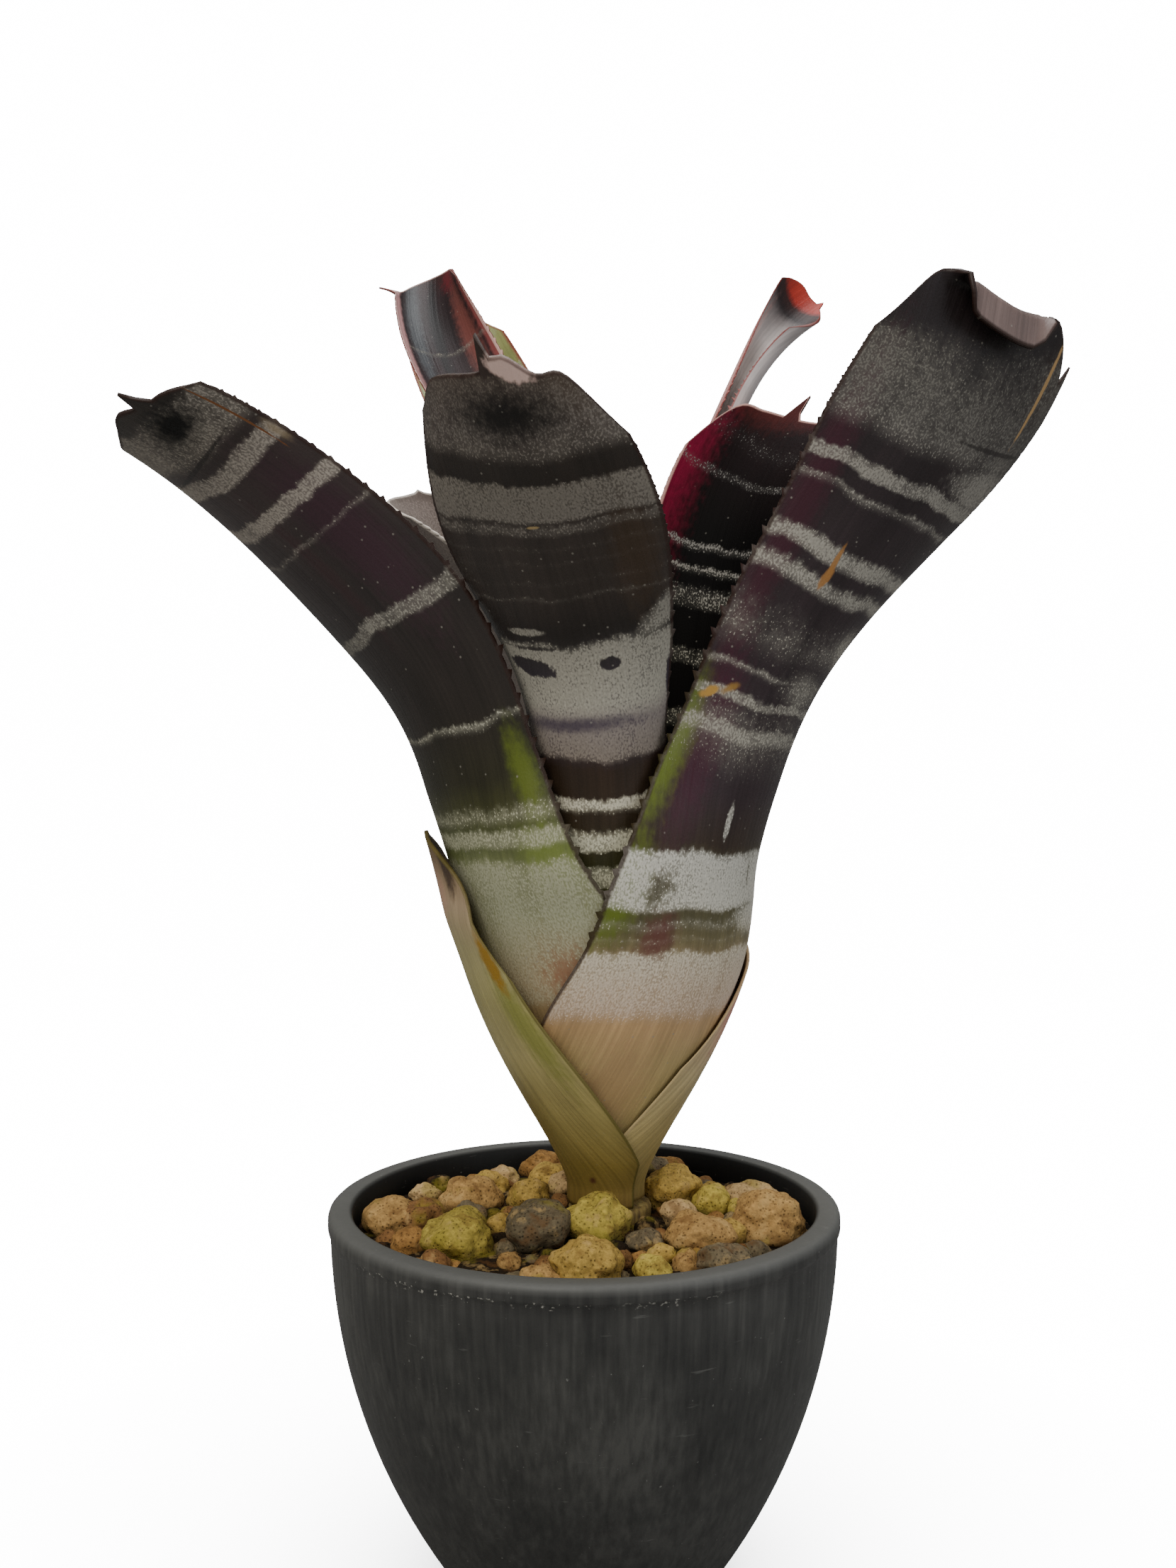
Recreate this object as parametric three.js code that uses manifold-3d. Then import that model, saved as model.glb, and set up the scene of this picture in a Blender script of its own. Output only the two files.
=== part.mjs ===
// A potted tank bromeliad: eight strap leaves and two old leaf bases round a short stock,
// standing in pumice gravel in a round bowl-shaped pot.
// Millimetres, +Z up. The origin is the middle of the pot's flat foot.
import * as THREE from 'three';
import { mergeVertices } from 'three/addons/utils/BufferGeometryUtils.js';
import Module from 'manifold-3d';

const wasm = await Module();
wasm.setup();

// Pot
const POT_HEIGHT = 86;
const RIM_RADIUS = 60;
const RIM_BAND = 4.3; // height of the proud band under the rim
const RIM_STEP = 0.45; // how far the band stands out of the wall
const MOUTH_RADIUS = 54.4;
const WALL = 5;
const INSIDE_DEPTHS = [7, 26, 50, 70]; // depths under the rim that shape the inner wall
const FLOOR = 5;
const FOOT_RADIUS = 28;
const POT_SIDES = 40;
const SLOTS = 6; // drain slots in the foot
const SLOT_SIZE = [12, 3.6];
const SLOT_RADIUS = 17;

// Gravel
const GAP = 0.3; // air between pieces that touch
const GRAVEL_EDGE = POT_HEIGHT - INSIDE_DEPTHS[0]; // level of the fill at the wall
const GRAVEL_MIDDLE = POT_HEIGHT - 3; // level of the fill at the stock
const STONE_RISE = 0.42; // share of its radius by which a stone's middle stands over the fill
const HOLE_RADIUS = 10.8;
const HOLE_FLOOR = 60;

// Plant
const PLANT_X = 6.1; // the stock stands a little right of the pot's middle
const SHIFT = -2.3; // the tank's shoulder and all above it stand this much further left
const SHOULDER = [50, 80]; // heights over the crown between which it shifts
const CROWN = 90; // height at which the outermost leaf base starts
const SHEET = 0.62; // thickness of a leaf base
const BLADE = 0.9; // thickness of a blade
const LAYER = 1.6; // radial step from one leaf base to the next one inside it
const BLEND = 30; // length in which a base opens into its blade
const BASE_STEP = 10; // spacing of the rows along a leaf base
const ROW_STEP = 13; // spacing of the rows along a blade, one tooth to each row
const TOOTH = 1.5; // how far a marginal tooth stands out
const TOOTH_BASE = 1.7; // width of its root along the margin
const LIP_TURN = 2.8; // radians by which a rolled end turns back
const LIP_BEND = 0.45; // share of its length in which it turns

// Leaves from the outside in. Headings, leans, sways, twists and curls are degrees, the rest is mm.
// heading: direction seen from above; layer: steps inside the tank's outline; foot and neck: heights
// over the crown at which the base starts and the blade leaves the tank; blade: its length; lean:
// tilt from upright at four stations; sway: turn of the heading at two; twist: turn of the face at
// two; base: half widths at foot, middle and neck; width: half widths at four stations; curl: half
// angle of the channel at three; end: how far the leaf ends short of its full length, at nine
// stations from margin to margin; beak: place (-1 and 1 are the margins) and length of the point at
// the tip, and how far it slants aside for each mm; lip: place, reach and length of an end that is rolled outwards.
const LEAVES = [
  { name: 'sheath_left_old', heading: -178, layer: -0.2, foot: -4, neck: 62, blade: 21,
    lean: [7, 9, 12, 15], sway: [5, -1], twist: [0, 0],
    base: [23, 32, 27], width: [28, 27.5, 27, 26.5], curl: [38, 36, 36],
    end: [33, 13, 5, 1.5, 0, 1.5, 5, 13, 33], beak: [0, 1], lip: [0, 0, 0],
    teeth: false, across: 10 },
  { name: 'sheath_right_old', heading: 36, layer: 1.03, foot: -3, neck: 50, blade: 10,
    lean: [16, 12, 10, 8], sway: [0, 0], twist: [0, 0],
    base: [22, 33, 36.5], width: [36, 35.5, 35, 34.5], curl: [62, 60, 58],
    end: [32, 12.5, 4.6, 1, 0, 1, 4.6, 12.5, 32], beak: [0, 1], lip: [0, 0, 0],
    teeth: false, across: 10 },
  { name: 'leaf_right', heading: -32, layer: 2, foot: 3, neck: 68, blade: 142,
    lean: [20, 34, 33, 20], sway: [14, 0], twist: [27, 32],
    base: [24, 44, 36], width: [25.5, 26, 29.5, 26.5], curl: [56, 43, 24],
    end: [17, 0, 0, 1.2, 1.6, 0.4, -1, 5, 16], beak: [0.93, 8], lip: [-0.14, 0.6, 11],
    teeth: true, across: 10 },
  { name: 'leaf_left', heading: -148, layer: 3, foot: 5, neck: 66, blade: 134,
    lean: [17, 40, 53, 70], sway: [-18, 1], twist: [-29, -3],
    base: [24, 44, 36], width: [25, 25.5, 24.5, 24], curl: [43, 38, 36],
    end: [8, 5, 3, 1.5, -0.5, -2.5, 0.5, 2.5, 7.5], beak: [0.52, 5.5], lip: [0, 0, 0],
    teeth: true, across: 10 },
  { name: 'leaf_back_right_rolled', heading: 62, layer: 4, foot: 7, neck: 60, blade: 225,
    lean: [15, 24, 40, 57], sway: [-1, -16], twist: [0, -40],
    base: [20, 26, 16], width: [13, 11.5, 9.8, 17.8], curl: [50, 151, 82],
    end: [34, 26, 16, 6, 0, -1.5, -2, 3, 11], beak: [0, 4], lip: [0, 0, 0],
    teeth: true, across: 10 },
  { name: 'leaf_back_left_pale', heading: 106, layer: 5, foot: 9, neck: 62, blade: 210,
    lean: [11, 28, 39, 35], sway: [15, 2.5], twist: [13, 40],
    base: [22, 30, 24], width: [21, 21, 21, 19.5], curl: [76, 67, 90],
    end: [32, 22, 12, 5, 1, 3, 6, 10, 16], beak: [0, 5], lip: [0, 0, 0],
    teeth: true, across: 8 },
  { name: 'leaf_front', heading: -94, layer: 6, foot: 11, neck: 64, blade: 122,
    lean: [14, 31, 44, 49], sway: [-19, -15], twist: [-3, 13],
    base: [22, 32, 27], width: [21.5, 23, 25.5, 20], curl: [79, 30, 42],
    end: [12, 4.5, 2, 1, 0, -3, 1.6, 3.2, 18], beak: [0.07, 6.5], lip: [0, 0, 0],
    teeth: true, across: 8 },
  { name: 'leaf_right_inner', heading: 17, layer: 7, foot: 13, neck: 64, blade: 133,
    lean: [2, 8, 23, 44], sway: [13, 12], twist: [-11, -28],
    base: [21, 30, 26], width: [21, 23, 25, 24], curl: [58, 53, 53],
    end: [14, 6, 3, 2, 1.5, 1.5, 2.5, 5, 20], beak: [0.18, 9], lip: [0, 0, 0],
    teeth: true, across: 8 },
  { name: 'leaf_left_inner', heading: 151, layer: 8, foot: 15, neck: 58, blade: 120,
    lean: [-14, 17, 32, 35], sway: [10, -6], twist: [-15, 19],
    base: [20, 28, 24], width: [25, 30.2, 30, 23], curl: [50, 44, 47],
    end: [12, 6, 2.5, 0.5, -1, 0.5, 3, 8, 20], beak: [0, 1], lip: [0, 0, 0],
    teeth: true, across: 8 },
  { name: 'leaf_back_left_tall', heading: 114, layer: 9.3, foot: 18, neck: 56, blade: 210,
    lean: [-13, 31, 36, 37], sway: [38, -20], twist: [11, 25],
    base: [16, 24, 19], width: [15, 18, 15.4, 13.6], curl: [62, 40, 104],
    end: [14, 6, 1.5, -1.5, -2.5, -1, 3, 9, 14], beak: [0.93, 5.5, 1], lip: [0, 0, 0],
    teeth: true, across: 8 },
];

// The larger stones: direction in degrees, distance from the pot's middle and radius in mm.
const STONES = [
  [-177, 47, 6.2], [-173, 39, 5.6], [150, 47, 3.2], [158, 30, 6.8], [141, 52, 3.3], [134, 36, 4.6],
  [-146, 34, 6.9], [-151, 22, 3], [-126, 29, 2.6], [155, 15, 4.8], [110, 27, 5], [104, 54, 5],
  [-117, 21, 6.7], [-82, 18, 6.6], [-117, 35, 2.6], [25, 24, 6.5], [62, 51, 4.8], [9, 31, 4.3],
  [-18, 23, 3.8], [-39, 33, 5.9], [-24, 36, 3.3], [6, 37, 3.1], [15, 43, 5.9], [-11, 45, 7.5],
  [-60, 27, 3.2], [-60, 33, 2.6], [34, 39, 3.1], [-39, 43, 2.8], [-76, 33, 2.6], [-56, 39, 3.1],
];
const STONE_RADII = [3.6, 6.8];
const STONE_TRIES = 60;

const rad = THREE.MathUtils.degToRad;
const clamp = THREE.MathUtils.clamp;
const smooth = THREE.MathUtils.smoothstep;

function finish(name, geometry, color, roughness) {
  const mesh = new THREE.Mesh(geometry, new THREE.MeshStandardMaterial({ color, roughness }));
  mesh.material.metalness = 0;
  mesh.name = name;
  return mesh;
}

function solidOf(geometry) {
  const bare = geometry.clone();
  bare.deleteAttribute('normal');
  bare.deleteAttribute('uv');
  const merged = mergeVertices(bare, 1e-4);
  return new wasm.Manifold(new wasm.Mesh({
    numProp: 3,
    vertProperties: merged.attributes.position.array,
    triVerts: new Uint32Array(merged.index.array),
  }));
}

function geometryOf(solid) {
  const mesh = solid.getMesh();
  const geometry = new THREE.BufferGeometry();
  geometry.setAttribute('position', new THREE.BufferAttribute(new Float32Array(mesh.vertProperties), 3));
  geometry.setIndex(new THREE.BufferAttribute(new Uint32Array(mesh.triVerts), 1));
  return geometry;
}

/** Turns a profile of [radius, height] pairs round the Z axis. */
function turned(profile, sides) {
  const lathe = new THREE.LatheGeometry(profile.map(([r, z]) => new THREE.Vector2(r, z)), sides);
  return lathe.rotateX(Math.PI / 2);
}

/** The same draw every time: a small seeded generator of numbers from 0 to 1. */
function seeded(seed) {
  let state = seed;
  return () => {
    state = (state * 1664525 + 1013904223) % 4294967296;
    return state / 4294967296;
  };
}

// Pot wall: the outline narrows slowly under the rim and turns in fast towards the foot.
function wallRadius(depth) {
  return 59.47 * (1 - (depth / 114.15) ** 2.077) ** (1 / 1.171);
}

function makePot() {
  const outside = [83, 76, 66, 54, 40, 22, RIM_BAND].map((d) => [wallRadius(d), POT_HEIGHT - d]);
  const rim = [
    [RIM_RADIUS - 0.1, POT_HEIGHT - RIM_BAND + RIM_STEP],
    [RIM_RADIUS, POT_HEIGHT - 1.6],
    [RIM_RADIUS - 0.5, POT_HEIGHT - 0.5],
    [RIM_RADIUS - 1.8, POT_HEIGHT],
    [MOUTH_RADIUS + 1, POT_HEIGHT],
    [MOUTH_RADIUS, POT_HEIGHT - 0.9],
  ];
  const inside = INSIDE_DEPTHS.map((d) => [wallRadius(d) - WALL, POT_HEIGHT - d]);
  const profile = [
    [0, 0], [FOOT_RADIUS, 0], [FOOT_RADIUS + 1.3, 0.6],
    ...outside, ...rim, ...inside, [FOOT_RADIUS - 2, FLOOR], [0, FLOOR],
  ];
  let pot = solidOf(turned(profile, POT_SIDES));
  for (let i = 0; i < SLOTS; i += 1) {
    const slot = new THREE.BoxGeometry(SLOT_SIZE[0], SLOT_SIZE[1], 4 * FLOOR);
    slot.translate(SLOT_RADIUS, 0, 0).rotateZ((2 * Math.PI * i) / SLOTS);
    pot = pot.subtract(solidOf(slot));
  }
  return finish('pot', geometryOf(pot), 0x3a3c3b, 0.6);
}

function makeStone(radius, draw) {
  const stone = bareSphere(radius > 5.5 ? 1 : 0);
  const axis = new THREE.Vector3(draw() - 0.5, draw() - 0.5, draw() - 0.5).normalize();
  const stretch = new THREE.Vector3(1 + 0.3 * draw(), 0.85 + 0.2 * draw(), 0.8 + 0.15 * draw());
  const place = stone.attributes.position;
  const v = new THREE.Vector3();
  for (let i = 0; i < place.count; i += 1) {
    v.fromBufferAttribute(place, i).multiplyScalar(radius * (0.92 + 0.16 * draw())).multiply(stretch);
    v.applyAxisAngle(axis, 2.4);
    place.setXYZ(i, v.x, v.y, v.z);
  }
  return stone;
}

function bareSphere(detail) {
  const sphere = new THREE.IcosahedronGeometry(1, detail);
  sphere.deleteAttribute('normal');
  sphere.deleteAttribute('uv');
  return mergeVertices(sphere);
}

/** Places and radii of all stones: the larger ones first, then small ones where there is room. */
function stonePlaces(draw) {
  const places = STONES.map(([turn, away, r]) => {
    const reach = Math.min(away, MOUTH_RADIUS - 1.5 - 1.25 * r);
    return [reach * Math.cos(rad(turn)), reach * Math.sin(rad(turn)), r];
  });
  for (let i = 0; i < STONE_TRIES; i += 1) {
    const turn = i * 2.39996;
    const away = 46 * Math.sqrt((i + 0.5) / STONE_TRIES) + 3 * draw();
    const r = STONE_RADII[0] + (STONE_RADII[1] - STONE_RADII[0]) * draw() ** 2;
    const x = away * Math.cos(turn);
    const y = away * Math.sin(turn);
    const clear = places.every(([px, py, pr]) => Math.hypot(px - x, py - y) > 0.92 * (pr + r));
    const stands = Math.hypot(x - PLANT_X, y) > HOLE_RADIUS + r + 0.5 && away < MOUTH_RADIUS - 1.5 - 1.25 * r;
    if (clear && stands) places.push([x, y, r]);
  }
  return places;
}

function fillLevel(x, y) {
  const t = smooth(Math.hypot(x - PLANT_X, y), HOLE_RADIUS, 46);
  return GRAVEL_MIDDLE + (GRAVEL_EDGE - GRAVEL_MIDDLE) * t;
}

function makeGravel() {
  const draw = seeded(7);
  const wall = INSIDE_DEPTHS.map((d) => [wallRadius(d) - WALL - GAP, POT_HEIGHT - d]).reverse();
  let gravel = solidOf(turned([
    [0, FLOOR + GAP], [FOOT_RADIUS - 2 - GAP, FLOOR + GAP], ...wall,
    [30, (GRAVEL_EDGE + GRAVEL_MIDDLE) / 2], [0, GRAVEL_MIDDLE],
  ], POT_SIDES));
  for (const [x, y, r] of stonePlaces(draw)) {
    const stone = makeStone(r, draw).translate(x, y, fillLevel(x, y) + STONE_RISE * r);
    gravel = gravel.add(solidOf(stone));
  }
  const height = POT_HEIGHT - HOLE_FLOOR + 20;
  const hole = new THREE.CylinderGeometry(HOLE_RADIUS, HOLE_RADIUS, height, 28).rotateX(Math.PI / 2);
  gravel = gravel.subtract(solidOf(hole.translate(PLANT_X, 0, HOLE_FLOOR + height / 2)));
  return finish('pumice_gravel', geometryOf(gravel), 0xa08a58, 0.95);
}

// Stock: the part in the gravel is as wide as the leaf bases, the part inside them tapers away.
function makeStock() {
  const profile = [
    [0, HOLE_FLOOR + GAP], [5.5, HOLE_FLOOR + GAP], [8.8, CROWN - 18], [9.6, CROWN - 9],
    [9.8, CROWN - 5.4], [9.3, CROWN - 4.6], [7.2, CROWN - 4.2], [7, CROWN - 0.2], [6, CROWN + 2.6],
    [5.2, CROWN + 6], [4.2, CROWN + 10], [3.4, CROWN + 16], [2.6, CROWN + 21], [0, CROWN + 22],
  ];
  const stock = turned(profile, 18).translate(PLANT_X, 0, 0);
  return finish('stock', geometryOf(solidOf(stock)), 0x9a8a5c, 0.8);
}

/** Value at t, from 0 to 1, of a smooth curve through evenly spaced stations. */
function along(stations, t) {
  const last = stations.length - 1;
  const x = clamp(t, 0, 1) * last;
  const i = Math.min(Math.floor(x), last - 1);
  const f = x - i;
  const a = stations[i];
  const b = stations[i + 1];
  const before = i > 0 ? (b - stations[i - 1]) / 2 : b - a;
  const after = i + 2 <= last ? (stations[i + 2] - a) / 2 : b - a;
  const rise = f * f * (3 - 2 * f);
  return a + (b - a) * rise + before * f * (1 - f) ** 2 - after * f * f * (1 - f);
}

/** Radius of the tank's outline at a height over the crown. */
function tankRadius(height) {
  return 9.6 + 34 * (1 - Math.exp(-((Math.max(height, 0) / 42.5) ** 1.38)));
}

/** The middle line of a leaf in steps of about 1 mm, up the tank and then along the leaning blade. */
function midline(leaf) {
  const heading = rad(leaf.heading);
  const stops = [];
  for (let h = leaf.foot; h <= leaf.neck; h += 1) {
    const r = tankRadius(h) - leaf.layer * LAYER;
    const rise = Math.min(h, leaf.neck - 1);
    const lean = Math.atan(tankRadius(rise + 1) - tankRadius(rise));
    stops.push({ at: new THREE.Vector3(r * Math.cos(heading), r * Math.sin(heading), h), lean, heading });
  }
  let arc = 0;
  stops.forEach((stop, i) => {
    arc += i ? stop.at.distanceTo(stops[i - 1].at) : 0;
    stop.arc = arc;
  });
  const neckArc = arc;
  const start = THREE.MathUtils.radToDeg(stops[stops.length - 1].lean);
  const at = stops[stops.length - 1].at.clone();
  for (let i = 0; i < leaf.blade; i += 1) {
    const t = (i + 0.5) / leaf.blade;
    const lean = rad(along([start, ...leaf.lean], t));
    const turn = heading + rad(along([0, ...leaf.sway], t));
    at.add(new THREE.Vector3(
      Math.sin(lean) * Math.cos(turn), Math.sin(lean) * Math.sin(turn), Math.cos(lean),
    ));
    arc += 1;
    stops.push({ at: at.clone(), lean, heading: turn, arc });
  }
  return { stops, neckArc, total: arc };
}

function stopAt(line, arc) {
  const { stops } = line;
  const d = clamp(arc, 0, line.total);
  let i = 0;
  while (i < stops.length - 2 && stops[i + 1].arc < d) i += 1;
  const a = stops[i];
  const b = stops[i + 1];
  const f = (d - a.arc) / (b.arc - a.arc);
  return {
    at: a.at.clone().lerp(b.at, f),
    lean: a.lean + (b.lean - a.lean) * f,
    heading: a.heading + (b.heading - a.heading) * f,
  };
}

/** A point of the leaf's middle surface: arc length d from its foot, u from -1 to 1 across it. */
function leafPoint(leaf, line, d, u) {
  const { at, lean, heading } = stopAt(line, d);
  const t = clamp((d - line.neckArc) / (line.total - line.neckArc), 0, 1);
  const open = smooth(d - line.neckArc, -8, leaf.blade < 30 ? 60 : BLEND);
  const inward = new THREE.Vector3(-Math.cos(heading), -Math.sin(heading), 0);
  const face = new THREE.Vector3(
    -Math.cos(lean) * Math.cos(heading), -Math.cos(lean) * Math.sin(heading), Math.sin(lean),
  );
  face.lerp(inward, 1 - open).normalize();
  const side = new THREE.Vector3(-Math.sin(heading), Math.cos(heading), 0);
  const twist = rad(along([0, ...leaf.twist], t)) * open;
  const up = face.clone().multiplyScalar(Math.cos(twist)).addScaledVector(side, Math.sin(twist));
  side.multiplyScalar(Math.cos(twist)).addScaledVector(face, -Math.sin(twist));
  const round = Math.max(Math.hypot(at.x, at.y), 1);
  let half = along([leaf.base[2], ...leaf.width], t);
  if (t <= 0) half = Math.min(along(leaf.base, d / line.neckArc), 2.1 * round);
  const curl = rad(along([leaf.curl[0], ...leaf.curl], t));
  const bend = (1 - open) / round + (open * curl) / half;
  const angle = bend * u * half;
  at.addScaledVector(side, Math.sin(angle) / bend).addScaledVector(up, (1 - Math.cos(angle)) / bend);
  return at.add(new THREE.Vector3(PLANT_X + SHIFT * smooth(at.z, ...SHOULDER), 0, CROWN));
}

/** Length by which the point at the tip stands out, for a place u across the leaf. */
function beakLength(leaf, u) {
  return leaf.beak[1] * Math.max(0, 1 - Math.abs(u - leaf.beak[0]) / 0.07);
}

/** How far the end of the leaf rolls outwards at a place u across it, from 0 to 1. */
function lipWeight(leaf, u) {
  const [place, reach] = leaf.lip;
  return reach ? 1 - smooth(Math.abs(u - place), reach * 0.45, reach) : 0;
}

/** How far ahead and how far out a rolled end has come, a length `over` past the start of its roll. */
function rolled(leaf, weight, over) {
  const bend = LIP_BEND * leaf.lip[2];
  const radius = bend / LIP_TURN;
  const angle = Math.min(over, bend * weight) / radius;
  const straight = Math.max(over - bend * weight, 0);
  return [
    radius * Math.sin(angle) + straight * Math.cos(angle),
    radius * (1 - Math.cos(angle)) + straight * Math.sin(angle),
  ];
}

/** Length that the roll adds to the leaf, so that its crest stays on the outline of the end. */
function lipLength(leaf, u) {
  const weight = lipWeight(leaf, u);
  if (weight <= 0) return 0;
  const radius = (LIP_BEND * leaf.lip[2]) / LIP_TURN;
  const length = weight * leaf.lip[2];
  return length - (weight * LIP_TURN > Math.PI / 2 ? radius : rolled(leaf, weight, length)[0]);
}

/** Arc length at which the leaf ends, for a place u across it. */
function leafEnd(leaf, line, u) {
  return line.total - along(leaf.end, (u + 1) / 2) + beakLength(leaf, u) + lipLength(leaf, u);
}

/** The same with the end of the leaf rolled outwards where it has a lip, or its point slanted. */
function skinPoint(leaf, line, d, u) {
  const past = d - (leafEnd(leaf, line, u) - beakLength(leaf, u));
  if (leaf.beak[2] && beakLength(leaf, u) > 0 && past > 0) {
    const at = beyond(leaf, line, d, u);
    const aside = at.clone().sub(beyond(leaf, line, d, -u)).normalize();
    return at.addScaledVector(aside, leaf.beak[2] * past);
  }
  const weight = lipWeight(leaf, u);
  const over = d - (leafEnd(leaf, line, u) - weight * leaf.lip[2]);
  if (weight <= 0 || over <= 0) return beyond(leaf, line, d, u);
  const base = beyond(leaf, line, d - over, u);
  const ahead = base.clone().sub(beyond(leaf, line, d - over - 0.5, u)).normalize();
  const across = beyond(leaf, line, d - over, u + 0.01).sub(base).normalize();
  const out = across.clone().cross(ahead).normalize();
  const [forth, away] = rolled(leaf, weight, over);
  return base.addScaledVector(ahead, forth).addScaledVector(out, away);
}

/** Carries the surface straight on past the end of the middle line. */
function beyond(leaf, line, d, u) {
  if (d <= line.total) return leafPoint(leaf, line, d, u);
  const end = leafPoint(leaf, line, line.total, u);
  const before = leafPoint(leaf, line, line.total - 1, u);
  return end.clone().addScaledVector(end.sub(before), d - line.total);
}

function columnsOf(leaf) {
  const [beak] = leaf.beak;
  const columns = [beak - 0.07, beak, Math.min(beak + 0.07, 1)];
  for (let i = 0; i <= leaf.across; i += 1) {
    const x = (2 * i) / leaf.across - 1;
    const u = 0.5 * x + 0.5 * Math.sin((x * Math.PI) / 2);
    const clear = i % leaf.across === 0 ? 0.07 : 0.11;
    if (Math.abs(u - beak) > clear) columns.push(u);
  }
  return columns.sort((a, b) => a - b);
}

/** Rows of the last few mm, more of them where the end is rolled. */
function tipSteps(leaf) {
  return leaf.lip[2] ? 6 : 3;
}

function rowsOf(leaf, line) {
  const fold = leaf.lip[2] || 4;
  const rows = [];
  const low = Math.round(line.neckArc / BASE_STEP);
  for (let i = 0; i < low; i += 1) rows.push((line.neckArc * i) / low);
  const reach = line.total - fold - line.neckArc;
  const high = Math.max(1, Math.round(reach / ROW_STEP));
  for (let i = 0; i < high; i += 1) rows.push(line.neckArc + (reach * i) / high);
  const steps = tipSteps(leaf);
  for (let i = 0; i <= steps; i += 1) rows.push(line.total - fold + (fold * i) / steps);
  return rows;
}

/** One closed leaf: the grid of points offset to both faces, toothed margins between them. */
function makeLeaf(leaf, color) {
  const line = midline(leaf);
  const columns = columnsOf(leaf);
  const rows = rowsOf(leaf, line);
  const settle = Math.max(0, line.total - 1.9 * Math.max(...leaf.end) - 6);
  const grid = rows.map((row) => columns.map((u) => {
    const end = leafEnd(leaf, line, u);
    const share = (end - settle) / (line.total - settle);
    return skinPoint(leaf, line, row > settle ? settle + (row - settle) * share : row, u);
  }));
  const wide = columns.length - 1;
  const high = rows.length - 1;
  const points = [];
  const add = (p, normal, thickness) => {
    points.push(p.clone().addScaledVector(normal, thickness / 2));
    points.push(p.clone().addScaledVector(normal, -thickness / 2));
    return points.length - 2;
  };
  const normals = grid.map((list, i) => list.map((p, j) => {
    const across = list[Math.min(j + 1, wide)].clone().sub(list[Math.max(j - 1, 0)]);
    const ahead = grid[Math.min(i + 1, high)][j].clone().sub(grid[Math.max(i - 1, 0)][j]);
    return across.cross(ahead).normalize();
  }));
  const thick = (d) => SHEET + (BLADE - SHEET) * smooth(d, line.neckArc, line.neckArc + 20);
  const id = grid.map((list, i) => list.map((p, j) => add(p, normals[i][j], thick(rows[i]))));
  const faces = [];
  const face = (a, b, c) => {
    faces.push(a, b, c);
    faces.push(a + 1, c + 1, b + 1);
  };
  const margins = [[], []];
  for (let i = 0; i < high; i += 1) {
    const toothed = leaf.teeth && rows[i] > line.neckArc - 6 && i <= high - tipSteps(leaf);
    for (let j = 0; j < wide; j += 1) {
      const [a, b, c, d] = [id[i][j], id[i][j + 1], id[i + 1][j + 1], id[i + 1][j]];
      if (toothed && (j === 0 || j === wide - 1)) {
        const left = j === 0;
        const [edge, inner] = left ? [0, 1] : [wide, wide - 1];
        const low = grid[i][edge];
        const top = grid[i + 1][edge];
        const rise = top.clone().sub(low);
        const length = rise.length();
        const middle = low.clone().lerp(top, 0.5);
        const out = low.clone().sub(grid[i][inner]).normalize();
        const tip = middle.clone().addScaledVector(out, TOOTH).addScaledVector(rise, 0.9 / length);
        const half = TOOTH_BASE / 2 / length;
        const normal = normals[i][edge];
        const root = add(low.clone().lerp(top, 0.5 - half), normal, BLADE);
        const point = add(tip, normal, 0.4);
        const head = add(low.clone().lerp(top, 0.5 + half), normal, BLADE);
        if (left) {
          face(a, b, root);
          face(root, b, head);
          face(head, b, c);
          face(head, c, d);
          face(head, point, root);
        } else {
          face(a, b, root);
          face(a, root, head);
          face(a, head, d);
          face(head, c, d);
          face(root, point, head);
        }
        margins[left ? 0 : 1].push(left ? a : b, root, point, head);
      } else {
        if (j < wide / 2) {
          face(a, b, c);
          face(a, c, d);
        } else {
          face(a, b, d);
          face(b, c, d);
        }
        if (j === 0) margins[0].push(a);
        if (j === wide - 1) margins[1].push(b);
      }
    }
  }
  const loop = [
    ...id[0].slice(0, wide), ...margins[1], ...id[high].slice(1).reverse(),
    id[high][0], ...margins[0].slice(1).reverse(),
  ];
  loop.forEach((p, i) => {
    const q = loop[(i + 1) % loop.length];
    faces.push(q, p, p + 1);
    faces.push(q, p + 1, q + 1);
  });
  const geometry = new THREE.BufferGeometry().setFromPoints(points);
  geometry.setIndex(faces);
  return finish(leaf.name, geometry, color, 0.6);
}

const COLORS = {
  sheath_left_old: 0xb5ab7c,
  sheath_right_old: 0xc0ae84,
  leaf_back_left_pale: 0x9db07c,
  leaf_right_inner: 0x5c0f30,
  leaf_left_inner: 0x9b9098,
  leaf_back_right_rolled: 0x8c4a48,
  leaf_back_left_tall: 0x4a2428,
};

const plant = new THREE.Group();
plant.add(makeStock());
for (const leaf of LEAVES) plant.add(makeLeaf(leaf, COLORS[leaf.name] ?? 0x4a3f42));

const container = new THREE.Group();
container.add(makePot(), makeGravel());

const root = new THREE.Group();
root.add(container, plant);

export default root;
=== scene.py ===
"""Visual model of a young tank bromeliad in a dark plastic pot of pumice gravel.

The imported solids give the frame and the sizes. Each of them is replaced here by a finer piece of
the same form: the leaves with all their teeth, scalloped margins and scurf bands, the stones
with their pores, and the pot with its smooth turned wall.
"""

import logging
import math
import random
from dataclasses import dataclass
from enum import Enum

import bmesh
import bpy
from mathutils import Matrix, Vector, noise


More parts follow.
